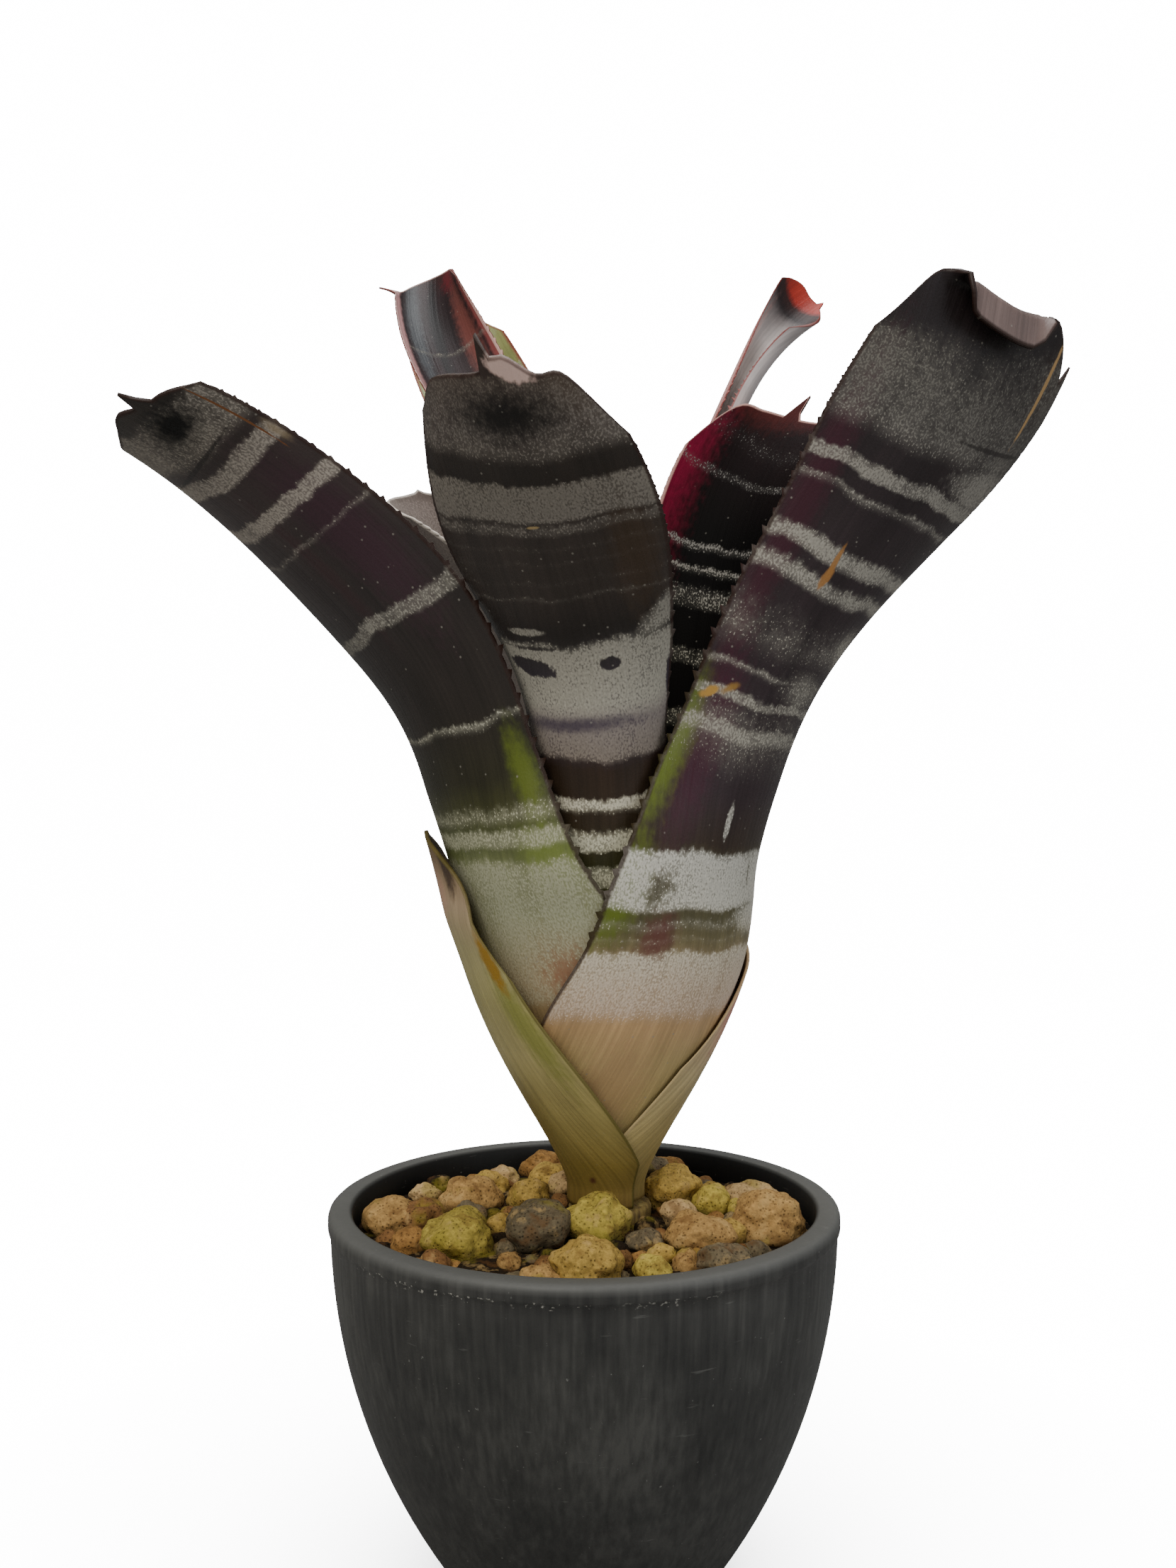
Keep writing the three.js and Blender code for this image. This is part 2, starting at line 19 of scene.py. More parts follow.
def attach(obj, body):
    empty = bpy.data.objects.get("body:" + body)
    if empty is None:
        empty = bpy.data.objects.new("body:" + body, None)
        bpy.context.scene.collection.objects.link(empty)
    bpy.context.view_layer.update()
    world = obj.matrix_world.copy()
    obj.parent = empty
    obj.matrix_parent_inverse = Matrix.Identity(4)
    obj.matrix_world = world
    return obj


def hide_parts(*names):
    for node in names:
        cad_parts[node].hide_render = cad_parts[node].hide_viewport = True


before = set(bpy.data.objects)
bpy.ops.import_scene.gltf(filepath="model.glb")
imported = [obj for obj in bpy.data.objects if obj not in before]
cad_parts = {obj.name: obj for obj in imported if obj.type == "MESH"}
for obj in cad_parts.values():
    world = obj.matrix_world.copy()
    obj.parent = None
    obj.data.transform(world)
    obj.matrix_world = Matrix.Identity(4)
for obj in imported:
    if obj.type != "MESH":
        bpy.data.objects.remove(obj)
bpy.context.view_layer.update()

Tree = bpy.types.NodeTree
Socket = bpy.types.NodeSocket
Value = float | bpy.types.NodeSocket

LOG = logging.getLogger("bromeliad")
MM = 0.001

# The pot, in mm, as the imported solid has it.
POT_HEIGHT = 86.0
RIM_RADIUS = 60.0
RIM_BAND = 4.3
MOUTH_RADIUS = 54.4
WALL = 5.0
FLOOR = 5.0
FOOT_RADIUS = 28.0

# The bowl's outline under the rim: a rounded curve with two powers.
BOWL_RADIUS = 59.47
BOWL_DEPTH = 114.15
BOWL_POWERS = (2.077, 1.171)

# The plant, in mm: the middle of the stock, how far the tank shifts aside between two heights
# over the crown, the crown's own height, the step between two layers of leaves, and the teeth.
PLANT_X = 6.1
SHIFT = -2.3
SHOULDER = (50.0, 80.0)
CROWN = 90.0
LAYER = 1.6
LEAF_THICKNESS = 0.95
TOOTH_PITCH = 4.25

# The tank's outline: its radius at the crown, how far it opens, over what rise and how steeply.
TANK_FOOT = 9.6
TANK_SPREAD = 34.0
TANK_RISE = 42.5
TANK_POWER = 1.38

# A rolled leaf end: its turn in radians, and the share of its length that bends.
LIP_TURN = 2.8
LIP_BEND = 0.45

# The scurf bands: how far they meander and fray, in mm, and how many of them one colour ramp
# can hold, at four stops each.
MEANDER = 4.5
FRAY = 2.2
RAMP_BANDS = 7

# The scatter of the smaller stones.
SCATTER_START = 7
SCATTER_FACTOR = 1664525
SCATTER_STEP = 1013904223
SCATTER_RANGE = 4294967296
GOLDEN_ANGLE = 2.39996

# Photograph, in pixels, and the lens that its perspective gives.
IMAGE_SIZE = (1659, 2212)
FOCAL_PIXELS = 1900.0
SENSOR = 36.0
CAMERA_PLACE = (0.88, -323.02, 177.23)
CAMERA_PITCH = 91.32


class Slot(Enum):
    """Material slots of the part's record."""

    POT = "pot"
    GRAVEL = "gravel"
    STOCK = "stock"
    DRY_SHEATH = "dry_sheath"
    DARK_LEAF = "dark_leaf"
    RED_LEAF = "red_leaf"
    PALE_LEAF = "pale_leaf"


def linear(hex_color: str) -> tuple[float, float, float, float]:
    """Turns an sRGB hex colour into linear RGBA.

    Args:
        hex_color: Six hex digits, such as "3a3c3b".

    Returns:
        Red, green, blue and alpha from 0 to 1.
    """
    parts = [int(hex_color[i : i + 2], 16) / 255 for i in (0, 2, 4)]
    turned = [c / 12.92 if c <= 0.04045 else ((c + 0.055) / 1.055) ** 2.4 for c in parts]
    return (turned[0], turned[1], turned[2], 1.0)


def smooth(low: float, high: float, x: float) -> float:
    """Rises from 0 at low to 1 at high along an S curve."""
    t = min(max((x - low) / (high - low), 0.0), 1.0)
    return t * t * (3 - 2 * t)


def along(stations: list[float], t: float) -> float:
    """Reads a smooth curve through evenly spaced stations.

    Args:
        stations: Two or more values.
        t: Place along them, from 0 to 1.

    Returns:
        The value there.
    """
    last = len(stations) - 1
    x = min(max(t, 0.0), 1.0) * last
    i = min(int(x), last - 1)
    f = x - i
    a, b = stations[i], stations[i + 1]
    before = (b - stations[i - 1]) / 2 if i > 0 else b - a
    after = (stations[i + 2] - a) / 2 if i + 2 <= last else b - a
    return a + (b - a) * f * f * (3 - 2 * f) + before * f * (1 - f) ** 2 - after * f * f * (1 - f)


def add(
    tree: Tree,
    kind: str,
    inputs: dict | None = None,
    stops: list[tuple[float, tuple]] | None = None,
    **settings: object,
) -> bpy.types.Node:
    """Adds one node with its settings, values and links.

    Args:
        tree: Node tree that gets it.
        kind: Node type, without the ShaderNode prefix.
        inputs: Input name or index to a value, or to the output socket that feeds it.
        stops: Place and colour of each stop, for a colour ramp.
        settings: Properties of the node.

    Returns:
        The new node.
    """
    node = tree.nodes.new("ShaderNode" + kind)
    for key, value in settings.items():
        setattr(node, key, value)
    for key, value in (inputs or {}).items():
        if isinstance(value, Socket):
            tree.links.new(value, node.inputs[key])
        else:
            node.inputs[key].default_value = value
    if stops:
        ramp = node.color_ramp
        while len(ramp.elements) < len(stops):
            ramp.elements.new(1.0)
        for element, (place, color) in zip(ramp.elements, stops):
            element.position = place
            element.color = color
    return node


def calc(tree: Tree, operation: str, *values: Value, clamp: bool = False) -> Socket:
    """Adds one calculation with numbers.

    Args:
        tree: Node tree that gets it.
        operation: Name of the calculation.
        values: Its numbers, in the order in which it takes them.
        clamp: True keeps the result from 0 to 1.

    Returns:
        The result.
    """
    return add(tree, "Math", dict(enumerate(values)), operation=operation, use_clamp=clamp).outputs[0]


def span(
    tree: Tree, value: Value, low: float, high: float, to_low: float, to_high: float, soft: bool = False
) -> Socket:
    """Spreads one range of values over another, and holds it at both ends.

    Args:
        tree: Node tree that gets it.
        value: The value.
        low: Start of its range.
        high: End of its range.
        to_low: Result at the start.
        to_high: Result at the end.
        soft: True eases the result in and out.

    Returns:
        The result.
    """
    return add(
        tree, "MapRange", {0: value, 1: low, 2: high, 3: to_low, 4: to_high},
        interpolation_type="SMOOTHSTEP" if soft else "LINEAR",
    ).outputs[0]


def dimmed(tree: Tree, color: Socket, factor: Socket) -> Socket:
    """Darkens or brightens a colour by a factor."""
    return add(tree, "VectorMath", {0: color, "Scale": factor}, operation="SCALE").outputs[0]


def tinted(tree: Tree, share: Value, under: Socket, over: Socket | tuple) -> Socket:
    """Lays one colour over another.

    Args:
        tree: Node tree that gets it.
        share: How much of the upper colour shows, from 0 to 1.
        under: The lower colour.
        over: The upper colour.

    Returns:
        The mixed colour.
    """
    return add(tree, "Mix", {0: share, 6: under, 7: over}, data_type="RGBA").outputs[2]


def stretched(tree: Tree, place: Socket, factors: tuple[float, float, float]) -> Socket:
    """Scales a place along each axis, which stretches the pattern that reads it."""
    return add(tree, "VectorMath", {0: place, 1: factors}, operation="MULTIPLY").outputs[0]


def cloud(tree: Tree, place: Socket, scale: float, detail: float, roughness: float = 0.5) -> Socket:
    """Adds a cloudy pattern of values around 0.5.

    Args:
        tree: Node tree that gets it.
        place: Place that it reads.
        scale: How fine it is.
        detail: Number of finer layers.
        roughness: Strength of the finer layers.

    Returns:
        The pattern.
    """
    return add(
        tree, "TexNoise", {"Vector": place, "Scale": scale, "Detail": detail, "Roughness": roughness}
    ).outputs[0]


def finish_coat(
    tree: Tree, color: Socket, roughness: Value, relief: tuple[Socket, float, float],
    ior: float = 1.5, shine: float = 0.5,
) -> None:
    """Ends a material with its relief, its shader and its output.

    Args:
        tree: Node tree of the material.
        color: Colour of the surface.
        roughness: From 0, polished, to 1, matt.
        relief: Pattern of heights, its strength and its depth in metres.
        ior: Index of refraction.
        shine: Strength of the highlights; 0.5 is what the index gives.
    """
    height, strength, depth = relief
    bump = add(tree, "Bump", {"Height": height, "Strength": strength, "Distance": depth})
    shader = add(
        tree, "BsdfPrincipled",
        {
            "Base Color": color,
            "Roughness": roughness,
            "Normal": bump.outputs[0],
            "IOR": ior,
            "Specular IOR Level": shine,
        },
    )
    add(tree, "OutputMaterial", {0: shader.outputs[0]})


def empty_material(name: str) -> tuple[bpy.types.Material, Tree]:
    """Makes a node material with nothing in its tree yet.

    Args:
        name: Name of the material.

    Returns:
        The material and its node tree.
    """
    material = bpy.data.materials.new(name)
    material.use_nodes = True
    material.node_tree.nodes.clear()
    return material, material.node_tree


def lathe(bm: bmesh.types.BMesh, profile: list[tuple[float, float]], steps: int) -> None:
    """Spins a profile round the upright axis.

    Args:
        bm: Mesh that gets the shape.
        profile: Radius and height of each corner, from the axis round to the axis.
        steps: Number of steps in the full turn.
    """
    verts = [bm.verts.new((r, 0.0, z)) for r, z in profile]
    edges = [bm.edges.new(pair) for pair in zip(verts, verts[1:])]
    bmesh.ops.spin(
        bm, geom=verts + edges, cent=(0, 0, 0), axis=(0, 0, 1), angle=2 * math.pi, steps=steps,
        use_merge=True,
    )
    bmesh.ops.remove_doubles(bm, verts=bm.verts, dist=0.001)
    bmesh.ops.recalc_face_normals(bm, faces=bm.faces)


def finished_mesh(name: str, bm: bmesh.types.BMesh) -> bpy.types.Mesh:
    """Turns a bmesh into a mesh, and frees it.

    Args:
        name: Name of the mesh.
        bm: The bmesh.

    Returns:
        The mesh.
    """
    mesh = bpy.data.meshes.new(name)
    bm.to_mesh(mesh)
    bm.free()
    return mesh


def put_in_scene(name: str, data: bpy.types.ID) -> bpy.types.Object:
    """Makes an object of a mesh, a light or a camera and puts it in the scene.

    Args:
        name: Name of the object.
        data: What it shows.

    Returns:
        The object.
    """
    made = bpy.data.objects.new(name, data)
    bpy.context.collection.objects.link(made)
    return made


def place_piece(
    name: str, bm: bmesh.types.BMesh, materials: list[bpy.types.Material], node: str
) -> bpy.types.Object:
    """Turns a bmesh in mm into a finished piece that rides on the object.

    Args:
        name: Name of the piece.
        bm: Its shape in mm; it is freed.
        materials: Its materials in slot order.
        node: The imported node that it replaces.

    Returns:
        The new object.
    """
    bmesh.ops.scale(bm, vec=Vector((MM, MM, MM)), verts=bm.verts)
    for face in bm.faces:
        face.smooth = True
    mesh = finished_mesh(name, bm)
    for material in materials:
        mesh.materials.append(material)
    piece = put_in_scene(name, mesh)
    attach(piece, "root")
    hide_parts(node)
    LOG.info("%s: %d faces", name, len(mesh.polygons))
    return piece


@dataclass(frozen=True)
class Band:
    """One band of silver scurf across a leaf, at distances from the tip in mm."""

    start: float
    end: float
    cover: float
    soft: float = 0.5

    def stops(self) -> list[tuple[float, float]]:
        """Gives the places where the band starts to fade in, is full, and has faded out again.

        Returns:
            Distance from the tip and cover at each.
        """
        inset = min(self.soft, (self.end - self.start) / 2.2)
        return [
            (self.start - self.soft, 0.0),
            (self.start + inset, self.cover),
            (self.end - inset, self.cover),
            (self.end + self.soft, 0.0),
        ]


@dataclass(frozen=True)
class Spot:
    """A soft oval patch of another colour on a leaf.

    Its middle is at a distance from the tip in mm and a place across from -1 to 1; its radii are
    in the same units. core is the share of it at full strength, and tilt how many mm further from
    the tip it lies for each unit across.
    """

    distance: float
    across: float
    length: float
    width: float
    color: str = "000000"
    strength: float = 1.0
    core: float = 0.2
    tilt: float = 0.0

    def mask(self, tree: Tree, place: Socket, ragged: Socket) -> Socket:
        """Finds the patch.

        Args:
            tree: Node tree of the skin.
            place: Place on the leaf.
            ragged: Noise that frays the patch's edge.

        Returns:
            Share from 0 outside the patch to its strength inside.
        """
        moved = add(tree, "VectorMath", {0: place, 1: (-self.distance, 0, -self.across)}, operation="ADD")
        ways = ((1 / self.length, 0, -self.tilt / self.length), (0, 0, 1 / self.width))
        ahead, aside = (
            add(tree, "VectorMath", {0: moved.outputs[0], 1: way}, operation="DOT_PRODUCT").outputs["Value"]
            for way in ways
        )
        spread = add(tree, "CombineXYZ", {0: ahead, 1: aside}).outputs[0]
        reach = add(tree, "VectorMath", {0: spread}, operation="LENGTH").outputs["Value"]
        rough = calc(tree, "MULTIPLY_ADD", ragged, 0.7, reach)
        return span(tree, rough, 1.35, 0.35 + self.core, 0.0, self.strength, soft=True)


@dataclass(frozen=True)
class LeafCoat:
    """Living leaf skin: waxy, nearly black cuticle under bands of silver scurf.

    The dark ground takes a soft gloss from the studio light, and the scurf scatters it, so the
    bands look chalky beside it. ground and frost give the colours of skin and scurf at distances
    from the tip in mm. The bands slant by slope mm from the middle to the margin, and less and
    less until slope_end. spots lie under the scurf, marks over it; dusted patches have scurf
    beside the bands, and bared ones have lost it. margin is the colour of the horny edge.
    """

    name: str
    ground: tuple[tuple[float, str], ...]
    bands: tuple[Band, ...] = ()
    frost: tuple[tuple[float, str], ...] = ((0, "8a867c"), (110, "a29e90"), (130, "bdbaa4"))
    slope: float = 0.0
    slope_end: float = 130.0
    spots: tuple[Spot, ...] = ()
    marks: tuple[Spot, ...] = ()
    dusted: tuple[Spot, ...] = ()
    bared: tuple[Spot, ...] = ()
    margin: str = "2a1710"
    margin_from: float = 0.972
    roughness: float = 0.46
    shine: float = 0.3
    specks: float = 0.55
    film: float = 0.6
    length: float = 300.0
    seed: float = 0.0

    def patterns(self, tree: Tree, place: Socket) -> dict[str, Socket]:
        """Makes the patterns of the skin, by their coarseness for each mm along and across it.

        They are the slow meander of the bands, their thin and thick stretches, their ragged
        edges, the scurf's grains (0.2 mm on the plant, drawn 0.5 mm wide to show), and the
        fibres under the skin.

        Args:
            tree: Node tree of the skin.
            place: Place on the leaf.

        Returns:
            The patterns by name.
        """
        start = (self.seed * 7.3, self.seed * 3.1, 0.0)
        made = {}
        for use, along_leaf, across_leaf, detail in (
            ("meander", 0.03, 0.08, 2.0), ("thinning", 0.05, 0.13, 3.0), ("ragged", 0.5, 0.7, 4.0),
            ("grain", 1.7, 2.3, 5.0), ("fibre", 0.015, 1.1, 3.0),
        ):
            spread = add(
                tree, "VectorMath", {0: place, 1: (along_leaf, across_leaf, 0.0), 2: start},
                operation="MULTIPLY_ADD",
            )
            made[use] = cloud(tree, spread.outputs[0], 1.0, detail)
        return made

    def lie(self, tree: Tree, pattern: dict[str, Socket], tip: Socket, side: Socket) -> Socket:
        """Works out the place along the leaf that its bands and colours follow.

        Args:
            tree: Node tree of the skin.
            pattern: The patterns by name.
            tip: Distance from the tip in mm.
            side: Place across, from -1 to 1.

        Returns:
            Distance from the tip as a share of the coat's length.
        """
        easing = calc(tree, "MULTIPLY_ADD", tip, -1 / self.slope_end, 1.0, clamp=True)
        level = calc(tree, "MULTIPLY_ADD", easing, calc(tree, "MULTIPLY", side, -self.slope), tip)
        bent = calc(tree, "MULTIPLY_ADD", pattern["meander"], MEANDER, level)
        torn = calc(tree, "MULTIPLY_ADD", pattern["ragged"], FRAY, bent)
        return calc(tree, "MULTIPLY_ADD", torn, 1 / self.length, -(MEANDER + FRAY) / 2 / self.length)

    def colors(self, tree: Tree, lie: Socket, stops: tuple[tuple[float, str], ...]) -> Socket:
        """Lays colours along the leaf, each at its distance from the tip.

        Args:
            tree: Node tree of the skin.
            lie: Place along the leaf that they follow.
            stops: Distance and colour of each.

        Returns:
            The colour.
        """
        return add(
            tree, "ValToRGB", {0: lie}, stops=[(d / self.length, linear(c)) for d, c in stops]
        ).outputs[0]

    def paint(
        self, tree: Tree, place: Socket, ragged: Socket, color: Socket, patches: tuple[Spot, ...]
    ) -> Socket:
        """Lays patches over a colour.

        Args:
            tree: Node tree of the skin.
            place: Place on the leaf.
            ragged: Noise that frays the patches' edges.
            color: The colour under them.
            patches: The patches, the lowest first.

        Returns:
            The colour with them.
        """
        for patch in patches:
            color = tinted(tree, patch.mask(tree, place, ragged), color, linear(patch.color))
        return color

    def cover(self, tree: Tree, pattern: dict[str, Socket], place: Socket, lie: Socket) -> Socket:
        """Lays out the scurf: bands and dusted patches, less what is bared and worn.

        Args:
            tree: Node tree of the skin.
            pattern: The patterns by name.
            place: Place on the leaf.
            lie: Place along the leaf that the bands follow.

        Returns:
            How thickly the scurf lies, from 0 where there is none.
        """
        thick: Value = 0.0
        for first in range(0, len(self.bands), RAMP_BANDS):
            stops = sorted(stop for band in self.bands[first : first + RAMP_BANDS] for stop in band.stops())
            ramp = add(
                tree, "ValToRGB", {0: lie},
                stops=[(max(d, 0.0) / self.length, (c, c, c, 1.0)) for d, c in stops],
            )
            thick = calc(tree, "MAXIMUM", thick, ramp.outputs[0])
        for patch in self.dusted:
            thick = calc(tree, "MAXIMUM", thick, patch.mask(tree, place, pattern["ragged"]))
        for patch in self.bared:
            rest = calc(tree, "MULTIPLY_ADD", patch.mask(tree, place, pattern["ragged"]), -1.0, 1.0)
            thick = calc(tree, "MULTIPLY", thick, rest)
        worn = span(tree, pattern["thinning"], 0.32, 0.6, 0.68, 1.1)
        patchy = span(tree, pattern["ragged"], 0.32, 0.6, 0.7, 1.12)
        return calc(tree, "MULTIPLY", thick, calc(tree, "MULTIPLY", worn, patchy))

    def powder(
        self, tree: Tree, pattern: dict[str, Socket], place: Socket, lie: Socket, color: Socket
    ) -> tuple[Socket, Socket]:
        """Powders the skin with scurf: a thin film, and grains in it where it lies thickly.

        Args:
            tree: Node tree of the skin.
            pattern: The patterns by name.
            place: Place on the leaf.
            lie: Place along the leaf that the bands follow.
            color: Colour of the bare skin.

        Returns:
            Share of scurf, and the colour with it.
        """
        thick = self.cover(tree, pattern, place, lie)
        grit = calc(tree, "ADD", span(tree, pattern["grain"], 0.34, 0.66, 0.0, 0.95), thick)
        grains = span(tree, grit, 0.98, 1.22, 0.0, 0.94, soft=True)
        film = span(tree, thick, 0.04, 0.7, 0.0, self.film, soft=True)
        scurf = calc(tree, "MAXIMUM", grains, film)
        chalk = span(tree, pattern["grain"], 0.34, 0.66, 0.76, 1.16)
        return scurf, tinted(tree, scurf, color, dimmed(tree, self.colors(tree, lie, self.frost), chalk))

    def build(self) -> bpy.types.Material:
        """Makes the material, which reads the leaf attribute of a piece.

        Returns:
            The material.
        """
        material, tree = empty_material(self.name)
        place = add(tree, "Attribute", attribute_name="leaf").outputs["Vector"]
        parts = add(tree, "SeparateXYZ", {0: place})
        side = parts.outputs[2]
        pattern = self.patterns(tree, place)
        lie = self.lie(tree, pattern, parts.outputs[0], side)
        mottle = span(tree, pattern["thinning"], 0.3, 0.7, 0.82, 1.2)
        streak = span(tree, pattern["fibre"], 0.3, 0.7, 0.86, 1.14)
        color = dimmed(tree, self.colors(tree, lie, self.ground), calc(tree, "MULTIPLY", mottle, streak))
        color = self.paint(tree, place, pattern["ragged"], color, self.spots)
        scurf: Value = 0.0
        if self.bands:
            scurf, color = self.powder(tree, pattern, place, lie, color)
        color = self.paint(tree, place, pattern["ragged"], color, self.marks)

        # Single scales and grains of dust, about two in each square centimetre.
        cells = add(tree, "TexVoronoi", {"Vector": stretched(tree, place, (0.42, 0.42, 0.0)), "Scale": 1.0})
        near = span(tree, cells.outputs["Distance"], 0.13, 0.06, 0.0, self.specks)
        chosen = calc(tree, "GREATER_THAN", cells.outputs["Color"], 0.5)
        color = tinted(tree, calc(tree, "MULTIPLY", near, chosen), color, linear("8f8b82"))

        # The horny edge, down both margins and round the end.
        margin = span(
            tree, calc(tree, "ABSOLUTE", side), self.margin_from, self.margin_from + 0.012, 0.0, 0.85
        )
        from_end = add(tree, "Attribute", attribute_name="from_end").outputs["Fac"]
        horny = calc(tree, "MAXIMUM", margin, span(tree, from_end, 0.9, 0.35, 0.0, 0.75))
        color = tinted(tree, horny, color, linear(self.margin))
        dull = span(tree, scurf, 0.0, 1.0, self.roughness, 0.8)
        height = calc(tree, "MULTIPLY_ADD", pattern["grain"], 0.35, pattern["fibre"])
        finish_coat(tree, color, dull, (height, 0.5, 0.0003), ior=1.45, shine=self.shine)
        return material

    def material(self) -> bpy.types.Material:
        """Gives the material, which all the leaves with this coat share."""
        return bpy.data.materials.get(self.name) or self.build()


LEAF_RIGHT_COAT = LeafCoat(
    name="banded_leaf_skin_right",
    ground=(
        (0, "1f1819"), (20, "231d1d"), (33, "221a1b"), (60, "2a2123"), (90, "2a2023"), (118, "2f2427"),
        (129, "33281f"), (133, "47422b"), (146, "4f4b33"), (151, "6b6244"), (160, "a28563"),
        (171, "b6966c"), (180, "ae996a"), (213, "a6985f"),
    ),
    bands=(
        Band(9, 35, 0.56, 3.0), Band(78, 112, 0.34, 6.0), Band(42, 45.2, 0.85), Band(49, 50.2, 0.7),
        Band(61, 64.5, 0.95), Band(68.2, 72, 0.75, 1.0), Band(91, 92.3, 0.55), Band(97, 98.8, 0.75),
        Band(103, 107, 0.7, 1.0), Band(131, 143.5, 0.98, 1.0), Band(145.2, 150.5, 0.3, 1.5),
        Band(151.5, 168.5, 0.86, 2.5),
    ),
    frost=(
        (0, "625f58"), (30, "696660"), (36, "86827a"), (60, "98948a"), (110, "9c988c"), (129, "c4c2b8"),
        (144, "c4c1b4"), (151, "c9c2ae"), (170, "ccb6a2"),
    ),
    slope=-6.5,
    slope_end=140.0,
    spots=(
        Spot(62, -0.84, 60, 0.22, "3a1724", 0.8), Spot(110, -0.72, 30, 0.26, "401a2a", 0.75),
        Spot(112, -0.97, 22, 0.2, "5c6a1c", 0.9), Spot(140, -0.95, 16, 0.22, "5c6a1c", 0.9),
        Spot(150, -0.62, 9, 0.16, "5e2c30", 0.7), Spot(186, -0.5, 20, 0.3, "b08468", 0.35),
        Spot(184, 0.3, 14, 0.2, "b88873", 0.55), Spot(9, 0.8, 13, 0.34, "2a1d18", 0.9),
    ),
    marks=(
        Spot(12, 0.66, 13.5, 0.03, "a8875a", 1.0, 0.6, -58.0),
        Spot(66, -0.36, 5.5, 0.03, "9a6c38", 0.9, 0.6, 24.0),
        Spot(69, -0.36, 3.2, 0.05, "9a6c38", 0.9, 0.6, -20.0),
        Spot(99.5, -0.85, 1.5, 0.09, "a8823f", 1.0, 0.5, -14.0),
        Spot(97.6, -0.7, 1.4, 0.1, "8f6d33", 0.9, 0.2, -16.0),
        Spot(166, 0.33, 13, 0.035, "6b6a2c", 0.85, 0.4, 60.0),
        Spot(27, 0.5, 0.7, 0.6, "211c1b", 0.75, 0.5, -6.0),
    ),
    dusted=(
        Spot(34, 0.75, 6.5, 0.75, strength=0.8, core=0.4, tilt=-5.0),
        Spot(80, 0.5, 9, 0.5, strength=0.62, core=0.1), Spot(93, 0.1, 8, 0.6, strength=0.5, core=0.1),
        Spot(124, -0.3, 5.5, 0.04, strength=0.9, core=0.4), Spot(146, 0.3, 6.5, 0.5, strength=0.9),
    ),
    bared=(
        Spot(13, -0.1, 13, 1.3, strength=0.42, core=0.1),
        Spot(139, -0.7, 7, 0.14, strength=0.7), Spot(136, 0.1, 5, 0.02, strength=0.5),
        Spot(140, 0.45, 3, 0.05, strength=0.6),
    ),
    seed=1.0,
)

LEAF_LEFT_COAT = LeafCoat(
    name="banded_leaf_skin_left",
    ground=(
        (0, "302a26"), (25, "3c3231"), (60, "302a29"), (90, "28231f"), (106, "2a281a"), (113, "3f4022"),
        (119, "4e5430"), (123, "6a7048"), (134, "7e8058"), (142, "8a8a60"), (150, "9a8460"),
        (178, "97805a"), (201, "a2955f"),
    ),
    bands=(
        Band(1, 15, 0.62, 2.0), Band(18.5, 23, 0.82), Band(32, 36, 0.8), Band(43, 44.2, 0.42),
        Band(65, 68.5, 0.55), Band(93.2, 94.8, 0.5), Band(112, 115, 0.5, 1.5), Band(116.5, 120, 0.75, 0.8),
        Band(123, 156, 0.8, 1.5),
    ),
    frost=(
        (0, "8e877e"), (14, "918a80"), (20, "9c948a"), (36, "a29a90"), (60, "8e8a82"), (100, "a4a291"),
        (119, "a3a389"), (134, "9c9d84"), (150, "a69c80"),
    ),
    slope=5.0,
    slope_end=110.0,
    spots=(
        Spot(48, 0.6, 36, 0.4, "3c2630", 0.85), Spot(50, 0.1, 30, 0.12, "3a2528", 0.6),
        Spot(106, 0.84, 14, 0.17, "5a661c", 0.85), Spot(122, 0.8, 9, 0.3, "6c7a34", 0.7),
        Spot(148, 0.6, 14, 0.4, "8f5f4a", 0.7),
        Spot(150, 0.92, 22, 0.14, "7c7a30", 0.8), Spot(140, 0.9, 8, 0.14, "8a7a44", 0.8),
    ),
    marks=(
        Spot(7.5, 0.45, 8, 0.44, "070505", 1.0, 0.2), Spot(16.6, 0.1, 0.7, 0.8, "1d1917", 0.7, 0.5),
        Spot(16, 0.88, 15, 0.012, "6e4526", 1.0, 0.6, 30.0), Spot(25, 0.95, 5, 0.07, "8c7c62", 0.7, 0.1),
    ),
    dusted=(Spot(66, 0.02, 1.6, 0.07, strength=1.1, core=0.6),),
    bared=(Spot(134, -0.5, 2.2, 0.36, strength=0.75), Spot(150, 0.62, 11, 0.42, strength=0.85)),
    seed=2.0,
)

